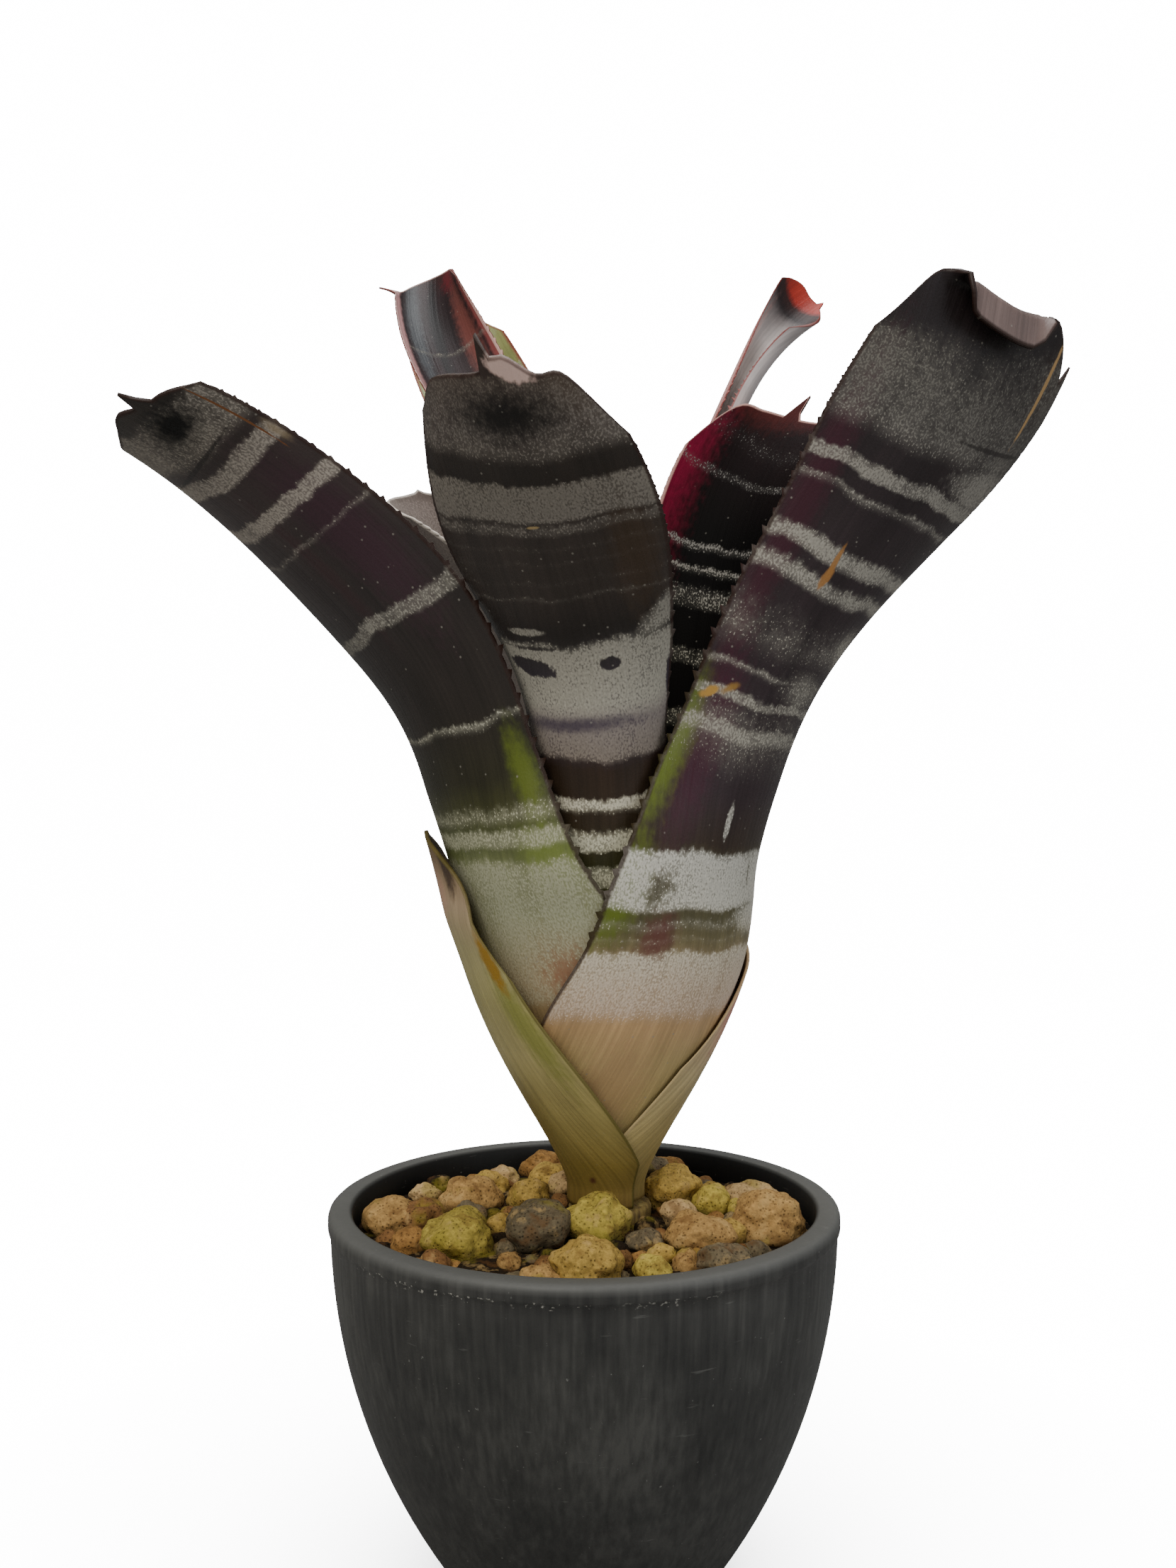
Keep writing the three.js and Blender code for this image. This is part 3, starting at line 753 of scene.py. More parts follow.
LEAF_FRONT_COAT = LeafCoat(
    name="banded_leaf_skin_front",
    ground=(
        (0, "3c302b"), (12, "382e2a"), (20, "2b2521"), (24, "28221e"), (37, "352e2a"), (50, "332c28"),
        (58, "211c19"), (62, "2c2826"), (78, "3c3340"), (88, "2e2219"), (100, "33291c"), (110, "3a391f"),
        (120, "5a5a30"), (180, "9c8f60"),
    ),
    bands=(
        Band(-3, 18.5, 0.56, 1.5), Band(24.3, 32.5, 0.95), Band(33.8, 35.2, 0.7), Band(38.5, 39.5, 0.26),
        Band(42, 43, 0.22), Band(46, 47, 0.24), Band(50, 51, 0.28), Band(61, 85.6, 1.1, 0.8),
        Band(94.4, 97, 0.95), Band(102, 106, 0.95), Band(110, 114, 0.95),
    ),
    frost=(
        (0, "6c6259"), (12, "77706a"), (24, "7c766d"), (36, "77716a"), (58, "8c887e"), (64, "9c988c"),
        (74, "a5a194"), (78, "8a817b"), (87, "7f756a"), (92, "c8c2ae"), (110, "cdcbb0"),
    ),
    slope=0.5,
    spots=(
        Spot(4, 0.75, 12, 0.3, "4a3a2c", 0.6), Spot(86, 0.9, 12, 0.2, "3a1518", 0.6),
        Spot(42, 0.75, 22, 0.3, "40301f", 0.55),
    ),
    marks=(
        Spot(9.2, 0.1, 8, 0.74, "0c0909", 0.92, 0.1), Spot(-1, 0.3, 4, 0.24, "dcbeb4", 1.0, 0.7, 6.0),
        Spot(78.4, -0.1, 2.6, 1.1, "413845", 0.85, 0.1), Spot(33.6, 0.0, 0.4, 0.06, "a08a60", 0.9, 0.6),
    ),
    dusted=(
        Spot(57, 0.95, 5, 0.5, strength=1.1, core=0.1, tilt=-13.0),
        Spot(57.4, -0.4, 1.2, 0.26, strength=0.9, core=0.4),
    ),
    bared=(
        Spot(65.5, -0.45, 2.7, 0.36, core=0.6, tilt=3.0), Spot(65.6, 0.36, 2.0, 0.12, core=0.6),
        Spot(71, 0.97, 6, 0.05, strength=0.9, core=0.4), Spot(61.2, -0.4, 0.8, 0.5, strength=0.8),
    ),
    seed=3.0,
)

INNER_DARK_COAT = LeafCoat(
    name="plum_upper_leaf_skin",
    ground=(
        (0, "6a5a56"), (5, "3a2628"), (12, "2c1a1e"), (40, "1f1719"), (90, "24201c"), (130, "404720"),
        (170, "7d8246"), (230, "a39a68"),
    ),
    bands=(
        Band(-16, 5, 0.9, 1.0), Band(16, 19, 0.55), Band(30, 35, 0.6), Band(47, 49, 0.5), Band(63, 68, 0.65),
        Band(84, 87, 0.55), Band(104, 109, 0.6), Band(128, 136, 0.7),
    ),
    frost=((0, "a8989a"), (12, "8a8680"), (110, "9c9888"), (130, "b4b19a")),
    slope=2.0,
    spots=(Spot(30, -1.0, 60, 0.22, "4a1020", 0.7), Spot(30, 1.0, 60, 0.22, "4a1020", 0.7)),
    seed=4.0,
)

INNER_MAGENTA_COAT = LeafCoat(
    name="magenta_upper_leaf_skin",
    # Painted shade: the upper face is painted near black along most of the blade.
    ground=(
        (0, "3a1616"), (6, "160a0b"), (40, "060505"), (100, "090706"), (130, "3a421c"), (170, "7d8246"),
        (230, "a39a68"),
    ),
    bands=(
        Band(12, 17, 0.24, 3.0), Band(24, 26.5, 0.4), Band(43, 44.4, 0.85), Band(48.6, 50.2, 0.8),
        Band(54, 59, 0.5, 1.0), Band(69, 73, 0.45), Band(84, 88, 0.5), Band(104, 110, 0.5),
    ),
    frost=((0, "5c5b59"), (40, "7c7a76"), (130, "b4b19a")),
    slope=-4.5,
    # Painted light: the margins' red is brightened to magenta as light shining through the leaf.
    spots=(
        Spot(22, 1.0, 48, 0.46, "6e0e2c", 1.0, 0.0), Spot(0, 0.5, 11, 0.9, "431a18", 0.85),
        Spot(20, -1.0, 50, 0.3, "5c1026", 0.8),
    ),
    margin="c39a90",
    roughness=0.6,
    shine=0.06,
    specks=0.3,
    film=0.2,
    seed=5.0,
)

INNER_RED_COAT = LeafCoat(
    name="crimson_upper_leaf_skin",
    ground=(
        (0, "2a1412"), (8, "26181a"), (26, "241c1e"), (60, "2a1c1e"), (120, "3a3a20"), (170, "7d8246"),
        (230, "a39a68"),
    ),
    bands=(Band(35, 36.2, 0.5), Band(60, 64, 0.5), Band(90, 96, 0.5), Band(120, 128, 0.5)),
    frost=((0, "77736f"), (130, "b4b19a")),
    slope=0.0,
    spots=(
        Spot(26, 0.5, 40, 0.26, "45494c", 0.9, 0.3), Spot(24, 0.05, 44, 0.18, "0b090a", 0.95),
        Spot(30, -0.6, 40, 0.3, "74423c", 0.85), Spot(32, -0.95, 50, 0.13, "8a4846", 0.9),
        Spot(30, 0.92, 50, 0.16, "b48684", 0.95), Spot(3, -0.6, 12, 0.5, "701a24", 0.8),
    ),
    margin="cfa9a0",
    margin_from=0.955,
    shine=0.2,
    specks=0.3,
    seed=6.0,
)

INNER_CHANNEL_COAT = LeafCoat(
    name="grey_channel_leaf_skin",
    ground=(
        (0, "9c3024"), (6, "942a20"), (9, "2e1816"), (15, "221b1c"), (22, "8a8280"), (32, "bab2af"),
        (70, "aea6a2"), (120, "5a5040"), (170, "7d8246"), (230, "a39a68"),
    ),
    spots=(
        Spot(50, 0.75, 40, 0.16, "d0a6a0", 0.8), Spot(45, -0.5, 40, 0.14, "8c8684", 0.7),
        Spot(4, -0.8, 14, 0.4, "5a160e", 0.9), Spot(55, -0.95, 60, 0.1, "a87670", 0.85),
    ),
    margin="8c3c30",
    shine=0.2,
    specks=0.2,
    seed=7.0,
)

OUTER_GREY_COAT = LeafCoat(
    name="grey_under_leaf_skin",
    ground=(
        (0, "7c2418"), (8, "5e1e16"), (14, "3a2422"), (22, "a09896"), (60, "aea6a4"), (90, "9c807a"),
        (130, "5a5c34"), (170, "8a8550"), (230, "a79c68"),
    ),
    bands=(Band(100, 106, 0.7), Band(126, 136, 0.85)),
    frost=((0, "8f8580"), (130, "b9b7a0")),
    spots=(Spot(50, 0.9, 60, 0.4, "c48e88", 0.85),),
    margin="7a2c22",
    shine=0.2,
    specks=0.2,
    seed=14.0,
)

OUTER_RED_COAT = LeafCoat(
    name="red_under_leaf_skin",
    ground=(
        (0, "6a2620"), (10, "6c302c"), (40, "8a5450"), (100, "6a4a3a"), (130, "5a5c34"), (170, "8a8550"),
        (230, "a79c68"),
    ),
    bands=(
        Band(58, 64, 0.4, 2.0), Band(80, 83, 0.55), Band(100, 106, 0.7), Band(126, 136, 0.85),
    ),
    frost=((0, "8f8580"), (60, "9a948c"), (130, "b9b7a0")),
    slope=1.5,
    spots=(Spot(30, 1.0, 70, 0.4, "a8655f", 0.8), Spot(30, -1.0, 70, 0.4, "a8655f", 0.7)),
    margin="5a2018",
    seed=8.0,
)

OUTER_PLUM_COAT = LeafCoat(
    name="plum_under_leaf_skin",
    ground=(
        (0, "38201f"), (26, "2a2120"), (60, "241c1d"), (100, "2a201c"), (122, "3c3a20"), (130, "6a6c40"),
        (150, "94906a"), (230, "a79c68"),
    ),
    bands=(
        Band(4, 18, 0.42, 3.0), Band(27, 31, 0.8), Band(40, 43, 0.6), Band(52, 58, 0.9), Band(70, 72, 0.6),
        Band(84, 90, 0.85), Band(101, 104, 0.8), Band(124, 140, 0.9, 1.2),
    ),
    frost=((0, "79746c"), (50, "9a968c"), (120, "b9b7a0"), (160, "bdb49a")),
    slope=2.0,
    spots=(Spot(40, 0.85, 50, 0.25, "48182a", 0.75), Spot(118, -0.9, 16, 0.25, "5c6a1c", 0.8)),
    seed=9.0,
)

OUTER_MAUVE_COAT = LeafCoat(
    name="mauve_under_leaf_skin",
    ground=(
        (0, "675d57"), (30, "7c716a"), (60, "857970"), (90, "5a4f4c"), (110, "3c3222"), (125, "5c6236"),
        (150, "8a8a56"), (200, "a89c68"),
    ),
    bands=(
        Band(2, 40, 0.8, 2.0), Band(46, 58, 0.75, 1.5), Band(66, 74, 0.7), Band(88, 94, 0.8),
        Band(104, 112, 0.8), Band(126, 142, 0.9, 1.2),
    ),
    frost=((0, "837872"), (40, "8f857e"), (60, "938a84"), (130, "b9b7a0")),
    slope=1.0,
    margin="d8cfc4",
    margin_from=0.965,
    seed=10.0,
)

OUTER_PALE_COAT = LeafCoat(
    name="pale_green_leaf_skin",
    ground=(
        (0, "b0ae7c"), (20, "adb078"), (60, "98a266"), (110, "848e56"), (150, "8c9260"), (200, "a39c68"),
        (268, "b0a270"),
    ),
    bands=(
        Band(22, 27, 0.4), Band(44, 50, 0.5), Band(70, 78, 0.55), Band(100, 108, 0.55), Band(132, 142, 0.65),
    ),
    frost=((0, "c3c9a8"), (130, "bcc4a6")),
    slope=-1.0,
    spots=(Spot(20, -1.0, 60, 0.1, "b5555c", 0.8), Spot(20, 1.0, 60, 0.1, "b5555c", 0.8)),
    margin="8c4838",
    specks=0.2,
    seed=11.0,
)

SHEATH_COAT = LeafCoat(
    name="dry_leaf_base_skin",
    ground=(
        (0, "5f4a2c"), (5, "7d6648"), (16, "b09a7c"), (26, "a39a6e"), (38, "a09864"), (52, "a99e6c"),
        (66, "a0935c"), (82, "7d6c36"), (92, "6a5628"), (97, "4e3a1c"),
    ),
    spots=(
        Spot(44, 0.85, 22, 0.2, "7d8236", 0.7), Spot(22, -0.6, 24, 0.4, "ab8468", 0.6),
        Spot(14, 0.2, 9, 0.3, "b98f78", 0.6), Spot(29, 0.86, 9, 0.1, "94701c", 0.95, 0.4),
        Spot(8, 0.55, 9, 0.14, "3a2a1e", 0.9, 0.3), Spot(70, 0.1, 14, 0.5, "8c7c3e", 0.5),
        Spot(91, -0.3, 3, 0.3, "55351c", 0.8), Spot(86, 0.55, 1.4, 0.05, "4a2a1c", 0.9),
    ),
    margin="5c5426",
    margin_from=0.97,
    roughness=0.55,
    shine=0.25,
    specks=0.15,
    length=110.0,
    seed=12.0,
)

SHEATH_ROSY_COAT = LeafCoat(
    name="rosy_leaf_base_skin",
    ground=(
        (0, "b07a6c"), (8, "bf9684"), (20, "c0a284"), (34, "bfae82"), (52, "ac9c68"), (66, "8a7844"),
        (74, "5a4424"),
    ),
    spots=(Spot(10, -0.72, 26, 0.2, "b5706a", 0.85), Spot(30, 0.2, 16, 0.5, "b5aa80", 0.5)),
    margin="b8a478",
    margin_from=0.965,
    roughness=0.55,
    shine=0.25,
    specks=0.15,
    length=110.0,
    seed=13.0,
)


@dataclass
class Leaf:
    """One leaf or old leaf base: its place on the stock, its curve, its end and its coats.

    Angles are degrees and lengths mm. heading is the direction seen from above, layer the steps
    inside the tank's outline, foot and neck the heights over the crown at which the base starts
    and the blade leaves the tank. lean, sway and twist are read along the blade, base at the foot,
    the middle and the neck, width and curl along the blade. ending is how far the leaf ends short
    of its full length at nine stations from margin to margin, beak the place and length of its
    point and how far it slants aside for each mm, and lip the place, reach and length of an end
    that is rolled outwards. tooth and scallop are the sizes of what stands out from the margins.
    """

    name: str
    heading: float
    layer: float
    foot: int
    neck: int
    blade: int
    lean: list[float]
    sway: list[float]
    twist: list[float]
    base: list[float]
    width: list[float]
    curl: list[float]
    ending: list[float]
    outer: LeafCoat
    inner: LeafCoat
    slot: Slot = Slot.DARK_LEAF
    beak: tuple[float, float, float] = (0.0, 1.0, 0.0)
    lip: tuple[float, float, float] = (0.0, 0.0, 0.0)
    tooth: float = 1.4
    scallop: float = 0.35
    row_step: float = 0.85
    columns: int = 40

    def __post_init__(self) -> None:
        """Works out the middle line in steps of about 1 mm."""
        heading = math.radians(self.heading)
        self.stops: list[tuple[Vector, float, float, float]] = []
        arc = 0.0
        at = Vector()
        lean = 0.0
        for height in range(self.foot, self.neck + 1):
            radius = self.tank(height) - self.layer * LAYER
            rise = min(height, self.neck - 1)
            lean = math.atan(self.tank(rise + 1) - self.tank(rise))
            new = Vector((radius * math.cos(heading), radius * math.sin(heading), height))
            arc += (new - at).length if self.stops else 0.0
            at = new
            self.stops.append((at.copy(), lean, heading, arc))
        self.neck_arc = arc
        start = math.degrees(lean)
        for i in range(self.blade):
            t = (i + 0.5) / self.blade
            lean = math.radians(along([start, *self.lean], t))
            turn = heading + math.radians(along([0.0, *self.sway], t))
            at = at + Vector(
                (math.sin(lean) * math.cos(turn), math.sin(lean) * math.sin(turn), math.cos(lean))
            )
            arc += 1.0
            self.stops.append((at.copy(), lean, turn, arc))
        self.total = arc

    @staticmethod
    def tank(height: float) -> float:
        """Gives the radius of the tank's outline at a height over the crown."""
        opened = 1 - math.exp(-((max(height, 0.0) / TANK_RISE) ** TANK_POWER))
        return TANK_FOOT + TANK_SPREAD * opened

    def stop_at(self, distance: float) -> tuple[Vector, float, float]:
        """Reads the middle line.

        Args:
            distance: Arc length from the foot.

        Returns:
            Point, lean and heading there.
        """
        d = min(max(distance, 0.0), self.total)
        low, high = 0, len(self.stops) - 1
        while high - low > 1:
            middle = (low + high) // 2
            if self.stops[middle][3] < d:
                low = middle
            else:
                high = middle
        a, b = self.stops[low], self.stops[high]
        f = (d - a[3]) / (b[3] - a[3])
        return a[0].lerp(b[0], f), a[1] + (b[1] - a[1]) * f, a[2] + (b[2] - a[2]) * f

    def half_width(self, distance: float) -> float:
        """Gives half the width of the leaf, measured round its curve.

        Args:
            distance: Arc length from the foot.

        Returns:
            Half the width in mm.
        """
        if distance <= self.neck_arc:
            at, _, _ = self.stop_at(distance)
            return min(along(self.base, distance / self.neck_arc), 2.1 * max(at.xy.length, 1.0))
        return along([self.base[2], *self.width], (distance - self.neck_arc) / (self.total - self.neck_arc))

    def point(self, distance: float, u: float) -> Vector:
        """Places a point of the middle surface.

        Args:
            distance: Arc length from the foot.
            u: Place across, from -1 to 1.

        Returns:
            The point in mm in the object's frame.
        """
        at, lean, heading = self.stop_at(distance)
        t = min(max((distance - self.neck_arc) / (self.total - self.neck_arc), 0.0), 1.0)
        opened = smooth(-8.0, 60.0 if self.blade < 30 else 30.0, distance - self.neck_arc)
        inward = Vector((-math.cos(heading), -math.sin(heading), 0.0))
        face = Vector(
            (-math.cos(lean) * math.cos(heading), -math.cos(lean) * math.sin(heading), math.sin(lean))
        )
        face = inward.lerp(face, opened).normalized()
        side = Vector((-math.sin(heading), math.cos(heading), 0.0))
        twist = math.radians(along([0.0, *self.twist], t)) * opened
        up = face * math.cos(twist) + side * math.sin(twist)
        side = side * math.cos(twist) - face * math.sin(twist)
        half = self.half_width(distance)
        curl = math.radians(along([self.curl[0], *self.curl], t))
        bend = (1 - opened) / max(at.xy.length, 1.0) + opened * curl / half
        angle = bend * u * half
        at = at + side * (math.sin(angle) / bend) + up * ((1 - math.cos(angle)) / bend)
        return at + Vector((PLANT_X + SHIFT * smooth(*SHOULDER, at.z), 0.0, CROWN))

    def beak_length(self, u: float) -> float:
        """Gives how far the point at the tip stands out, for a place across the leaf."""
        return self.beak[1] * max(0.0, 1 - abs(u - self.beak[0]) / 0.07)

    def lip_weight(self, u: float) -> float:
        """Gives how far the end of the leaf rolls outwards at a place across it, from 0 to 1."""
        place, reach, _ = self.lip
        return 1 - smooth(reach * 0.45, reach, abs(u - place)) if reach else 0.0

    def rolled(self, weight: float, over: float) -> tuple[float, float]:
        """Gives how far ahead and how far out a rolled end has come.

        Args:
            weight: Share of the full roll.
            over: Length past the start of the roll.

        Returns:
            The two distances.
        """
        bend = LIP_BEND * self.lip[2]
        radius = bend / LIP_TURN
        angle = min(over, bend * weight) / radius
        straight = max(over - bend * weight, 0.0)
        forth = radius * math.sin(angle) + straight * math.cos(angle)
        return forth, radius * (1 - math.cos(angle)) + straight * math.sin(angle)

    def lip_length(self, u: float) -> float:
        """Gives the length that the roll adds, so that its crest stays on the leaf's outline.

        Args:
            u: Place across, from -1 to 1.

        Returns:
            The length in mm.
        """
        weight = self.lip_weight(u)
        if weight <= 0:
            return 0.0
        length = weight * self.lip[2]
        if weight * LIP_TURN > math.pi / 2:
            return length - LIP_BEND * self.lip[2] / LIP_TURN
        return length - self.rolled(weight, length)[0]

    def end(self, u: float) -> float:
        """Gives the arc length at which the leaf ends, for a place across it."""
        outline = self.total - along(self.ending, (u + 1) / 2)
        return outline + self.beak_length(u) + self.lip_length(u)

    def beyond(self, distance: float, u: float) -> Vector:
        """Places a point and carries the surface straight on past the middle line's end.

        Args:
            distance: Arc length from the foot.
            u: Place across, from -1 to 1.

        Returns:
            The point in mm.
        """
        if distance <= self.total:
            return self.point(distance, u)
        last = self.point(self.total, u)
        return last + (last - self.point(self.total - 1.0, u)) * (distance - self.total)

    def skin(self, distance: float, u: float) -> Vector:
        """Places a point of the leaf with its rolled end or its slanted point.

        Args:
            distance: Arc length from the foot.
            u: Place across, from -1 to 1.

        Returns:
            The point in mm.
        """
        past = distance - (self.end(u) - self.beak_length(u))
        if self.beak[2] and self.beak_length(u) > 0 and past > 0:
            at = self.beyond(distance, u)
            return at + (at - self.beyond(distance, -u)).normalized() * (self.beak[2] * past)
        weight = self.lip_weight(u)
        over = distance - (self.end(u) - weight * self.lip[2])
        if weight <= 0 or over <= 0:
            return self.beyond(distance, u)
        base = self.beyond(distance - over, u)
        ahead = (base - self.beyond(distance - over - 0.5, u)).normalized()
        across = (self.beyond(distance - over, u + 0.01) - base).normalized()
        forth, away = self.rolled(weight, over)
        return base + ahead * forth + across.cross(ahead) * away

    def places_across(self) -> list[float]:
        """Spaces the columns, closest together at the two margins and at the beak.

        Returns:
            The place across of each column, from -1 to 1.
        """
        places = []
        for i in range(self.columns + 1):
            x = 2 * i / self.columns - 1
            places.append(0.45 * x + 0.55 * math.sin(x * math.pi / 2))
        beak = self.beak[0]
        nearest = min(range(1, self.columns), key=lambda i: abs(places[i] - beak))
        places[nearest] = beak
        return places

    def build(self) -> bpy.types.Object:
        """Models the leaf as a fine grid bent to its form, with a thickness modifier.

        Returns:
            The leaf, thin at its margins and at its base.
        """
        places = self.places_across()
        rows = round(self.total / self.row_step)
        settle = max(0.0, self.total - 1.9 * max(self.ending) - 6)
        bm = bmesh.new()
        bmesh.ops.create_grid(bm, x_segments=self.columns, y_segments=rows, size=1.0)
        leaf_layer = bm.verts.layers.float_vector.new("leaf")
        end_layer = bm.verts.layers.float.new("from_end")
        weights = bm.verts.layers.deform.verify()
        grid: dict[tuple[int, int], bmesh.types.BMVert] = {}
        for vert in bm.verts:
            column = round((vert.co.x + 1) / 2 * self.columns)
            row = round((vert.co.y + 1) / 2 * rows)
            grid[column, row] = vert
        draw = random.Random(self.name)
        for (column, row), vert in grid.items():
            u = places[column]
            distance = self.total * row / rows
            if distance > settle:
                end = self.end(u)
                distance = settle + (distance - settle) * (end - settle) / (self.total - settle)
            vert.co = self.skin(distance, u)
            vert[end_layer] = self.end(u) - distance
            half = self.half_width(min(distance, self.total))
            vert[leaf_layer] = Vector((self.total - distance, u * half, u))
            rim = 1 - 0.62 * smooth(0.8, 1.0, abs(u))
            base = 0.68 + 0.32 * smooth(self.neck_arc - 10, self.neck_arc + 25, distance)
            vert[weights][0] = max(0.2, rim * base)
        self.cut_margins(grid, rows, draw, weights)
        piece = place_piece(
            "fine_" + self.name, bm, [self.outer.material(), self.inner.material()], self.name
        )
        piece.vertex_groups.new(name="thickness")
        wall = piece.modifiers.new("thickness", "SOLIDIFY")
        wall.thickness = LEAF_THICKNESS * MM
        wall.offset = 0.0
        wall.vertex_group = "thickness"
        wall.material_offset = 1
        wall.use_even_offset = False
        return piece

    def cut_margins(
        self,
        grid: dict[tuple[int, int], bmesh.types.BMVert],
        rows: int,
        draw: random.Random,
        weights: bmesh.types.BMLayerItem,
    ) -> None:
        """Ripples the margins and draws out a forward-pointing tooth every few mm.

        Args:
            grid: Vertices by column and row.
            rows: Number of the last row.
            draw: Seeded generator.
            weights: Layer of the thickness weights.
        """
        if self.tooth <= 0:
            return
        every = max(4, round(TOOTH_PITCH / self.row_step))
        first = round((self.neck_arc - 8) / self.total * rows)
        for column, inner in ((0, 2), (self.columns, self.columns - 2)):
            shift = draw.randrange(every)
            for row in range(first, rows - 3):
                vert = grid[column, row]
                out = (vert.co - grid[inner, row].co).normalized()
                ahead = (grid[column, row + 1].co - grid[column, row].co).normalized()
                phase = (row + shift) % every
                if phase == 0:
                    size = self.tooth * draw.uniform(0.75, 1.15)
                    size *= 0.5 + 0.5 * smooth(30.0, 90.0, self.total * (1 - row / rows))
                    vert.co += out * size + ahead * size * 0.55
                    vert[weights][0] = 0.16
                else:
                    vert.co += out * self.scallop * math.sin(math.pi * phase / every)


LEAVES = [
    Leaf(
        name="sheath_left_old", heading=-178, layer=-0.2, foot=-4, neck=62, blade=21,
        lean=[7, 9, 12, 15], sway=[5, -1], twist=[0, 0], base=[23, 32, 27], width=[28, 27.5, 27, 26.5],
        curl=[38, 36, 36], ending=[33, 13, 5, 1.5, 0, 1.5, 5, 13, 33],
        outer=SHEATH_COAT, inner=SHEATH_COAT, slot=Slot.DRY_SHEATH, tooth=0,
    ),
    Leaf(
        name="sheath_right_old", heading=36, layer=1.03, foot=-3, neck=50, blade=10,
        lean=[16, 12, 10, 8], sway=[0, 0], twist=[0, 0], base=[22, 33, 36.5], width=[36, 35.5, 35, 34.5],
        curl=[62, 60, 58], ending=[32, 12.5, 4.6, 1, 0, 1, 4.6, 12.5, 32],
        outer=SHEATH_ROSY_COAT, inner=SHEATH_COAT, slot=Slot.DRY_SHEATH, tooth=0,
    ),
    Leaf(
        name="leaf_right", heading=-32, layer=2, foot=3, neck=68, blade=142,
        lean=[20, 34, 33, 20], sway=[14, 0], twist=[27, 32], base=[24, 44, 36],
        width=[25.5, 26, 29.5, 26.5], curl=[56, 43, 24], ending=[17, 0, 0, 1.2, 1.6, 0.4, -1, 5, 16],
        outer=LEAF_RIGHT_COAT, inner=INNER_DARK_COAT, beak=(0.93, 8, 0), lip=(-0.14, 0.6, 11),
    ),
    Leaf(
        name="leaf_left", heading=-148, layer=3, foot=5, neck=66, blade=134,
        lean=[17, 40, 53, 70], sway=[-18, 1], twist=[-29, -3], base=[24, 44, 36],
        width=[25, 25.5, 24.5, 24], curl=[43, 38, 36], ending=[8, 5, 3, 1.5, -0.5, -2.5, 0.5, 2.5, 7.5],
        outer=LEAF_LEFT_COAT, inner=INNER_DARK_COAT, beak=(0.52, 5.5, 0),
    ),
    Leaf(
        name="leaf_back_right_rolled", heading=62, layer=4, foot=7, neck=60, blade=225,
        lean=[15, 24, 40, 57], sway=[-1, -16], twist=[0, -40], base=[20, 26, 16],
        width=[13, 11.5, 9.8, 17.8], curl=[50, 151, 82], ending=[34, 26, 16, 6, 0, -1.5, -2, 3, 11],
        outer=OUTER_GREY_COAT, inner=INNER_CHANNEL_COAT, slot=Slot.RED_LEAF, beak=(0, 4, 0),
    ),
    Leaf(
        name="leaf_back_left_pale", heading=106, layer=5, foot=9, neck=62, blade=210,
        lean=[11, 28, 39, 35], sway=[15, 2.5], twist=[13, 40], base=[22, 30, 24],
        width=[21, 21, 21, 19.5], curl=[76, 67, 90], ending=[32, 22, 12, 5, 1, 3, 6, 10, 16],
        outer=OUTER_PALE_COAT, inner=OUTER_PALE_COAT, slot=Slot.PALE_LEAF, beak=(0, 5, 0),
    ),
    Leaf(
        name="leaf_front", heading=-94, layer=6, foot=11, neck=64, blade=122,
        lean=[14, 31, 44, 49], sway=[-19, -15], twist=[-3, 13], base=[22, 32, 27],
        width=[21.5, 23, 25.5, 20], curl=[79, 30, 42], ending=[12, 4.5, 2, 1, 0, -3, 1.6, 3.2, 18],
        outer=LEAF_FRONT_COAT, inner=INNER_DARK_COAT, beak=(0.07, 6.5, 0),
    ),
    Leaf(
        name="leaf_right_inner", heading=17, layer=7, foot=13, neck=64, blade=133,
        lean=[2, 8, 23, 44], sway=[13, 12], twist=[-11, -28], base=[21, 30, 26],
        width=[21, 23, 25, 24], curl=[58, 53, 53], ending=[14, 6, 3, 2, 1.5, 1.5, 2.5, 5, 20],
        outer=OUTER_PLUM_COAT, inner=INNER_MAGENTA_COAT, slot=Slot.RED_LEAF, scallop=0.7,
        beak=(0.18, 9, 0),
    ),
    Leaf(
        name="leaf_left_inner", heading=151, layer=8, foot=15, neck=58, blade=120,
        lean=[-11, 17, 30.5, 33], sway=[10, -6], twist=[-15, 19], base=[20, 28, 24],
        width=[25, 30.2, 30, 23], curl=[50, 44, 47], ending=[12, 6, 2.5, 0.5, -1, 0.5, 3, 8, 20],
        outer=OUTER_MAUVE_COAT, inner=OUTER_MAUVE_COAT, scallop=1.3,
    ),
    Leaf(
        name="leaf_back_left_tall", heading=114, layer=9.3, foot=18, neck=56, blade=210,
        lean=[-13, 31, 36, 37], sway=[38, -20], twist=[11, 25], base=[16, 24, 19],
        width=[15, 18, 15.4, 13.6], curl=[62, 40, 104], ending=[14, 6, 1.5, -1.5, -2.5, -1, 3, 9, 14],
        outer=OUTER_RED_COAT, inner=INNER_RED_COAT, slot=Slot.RED_LEAF, beak=(0.93, 5.5, 1),
    ),
]


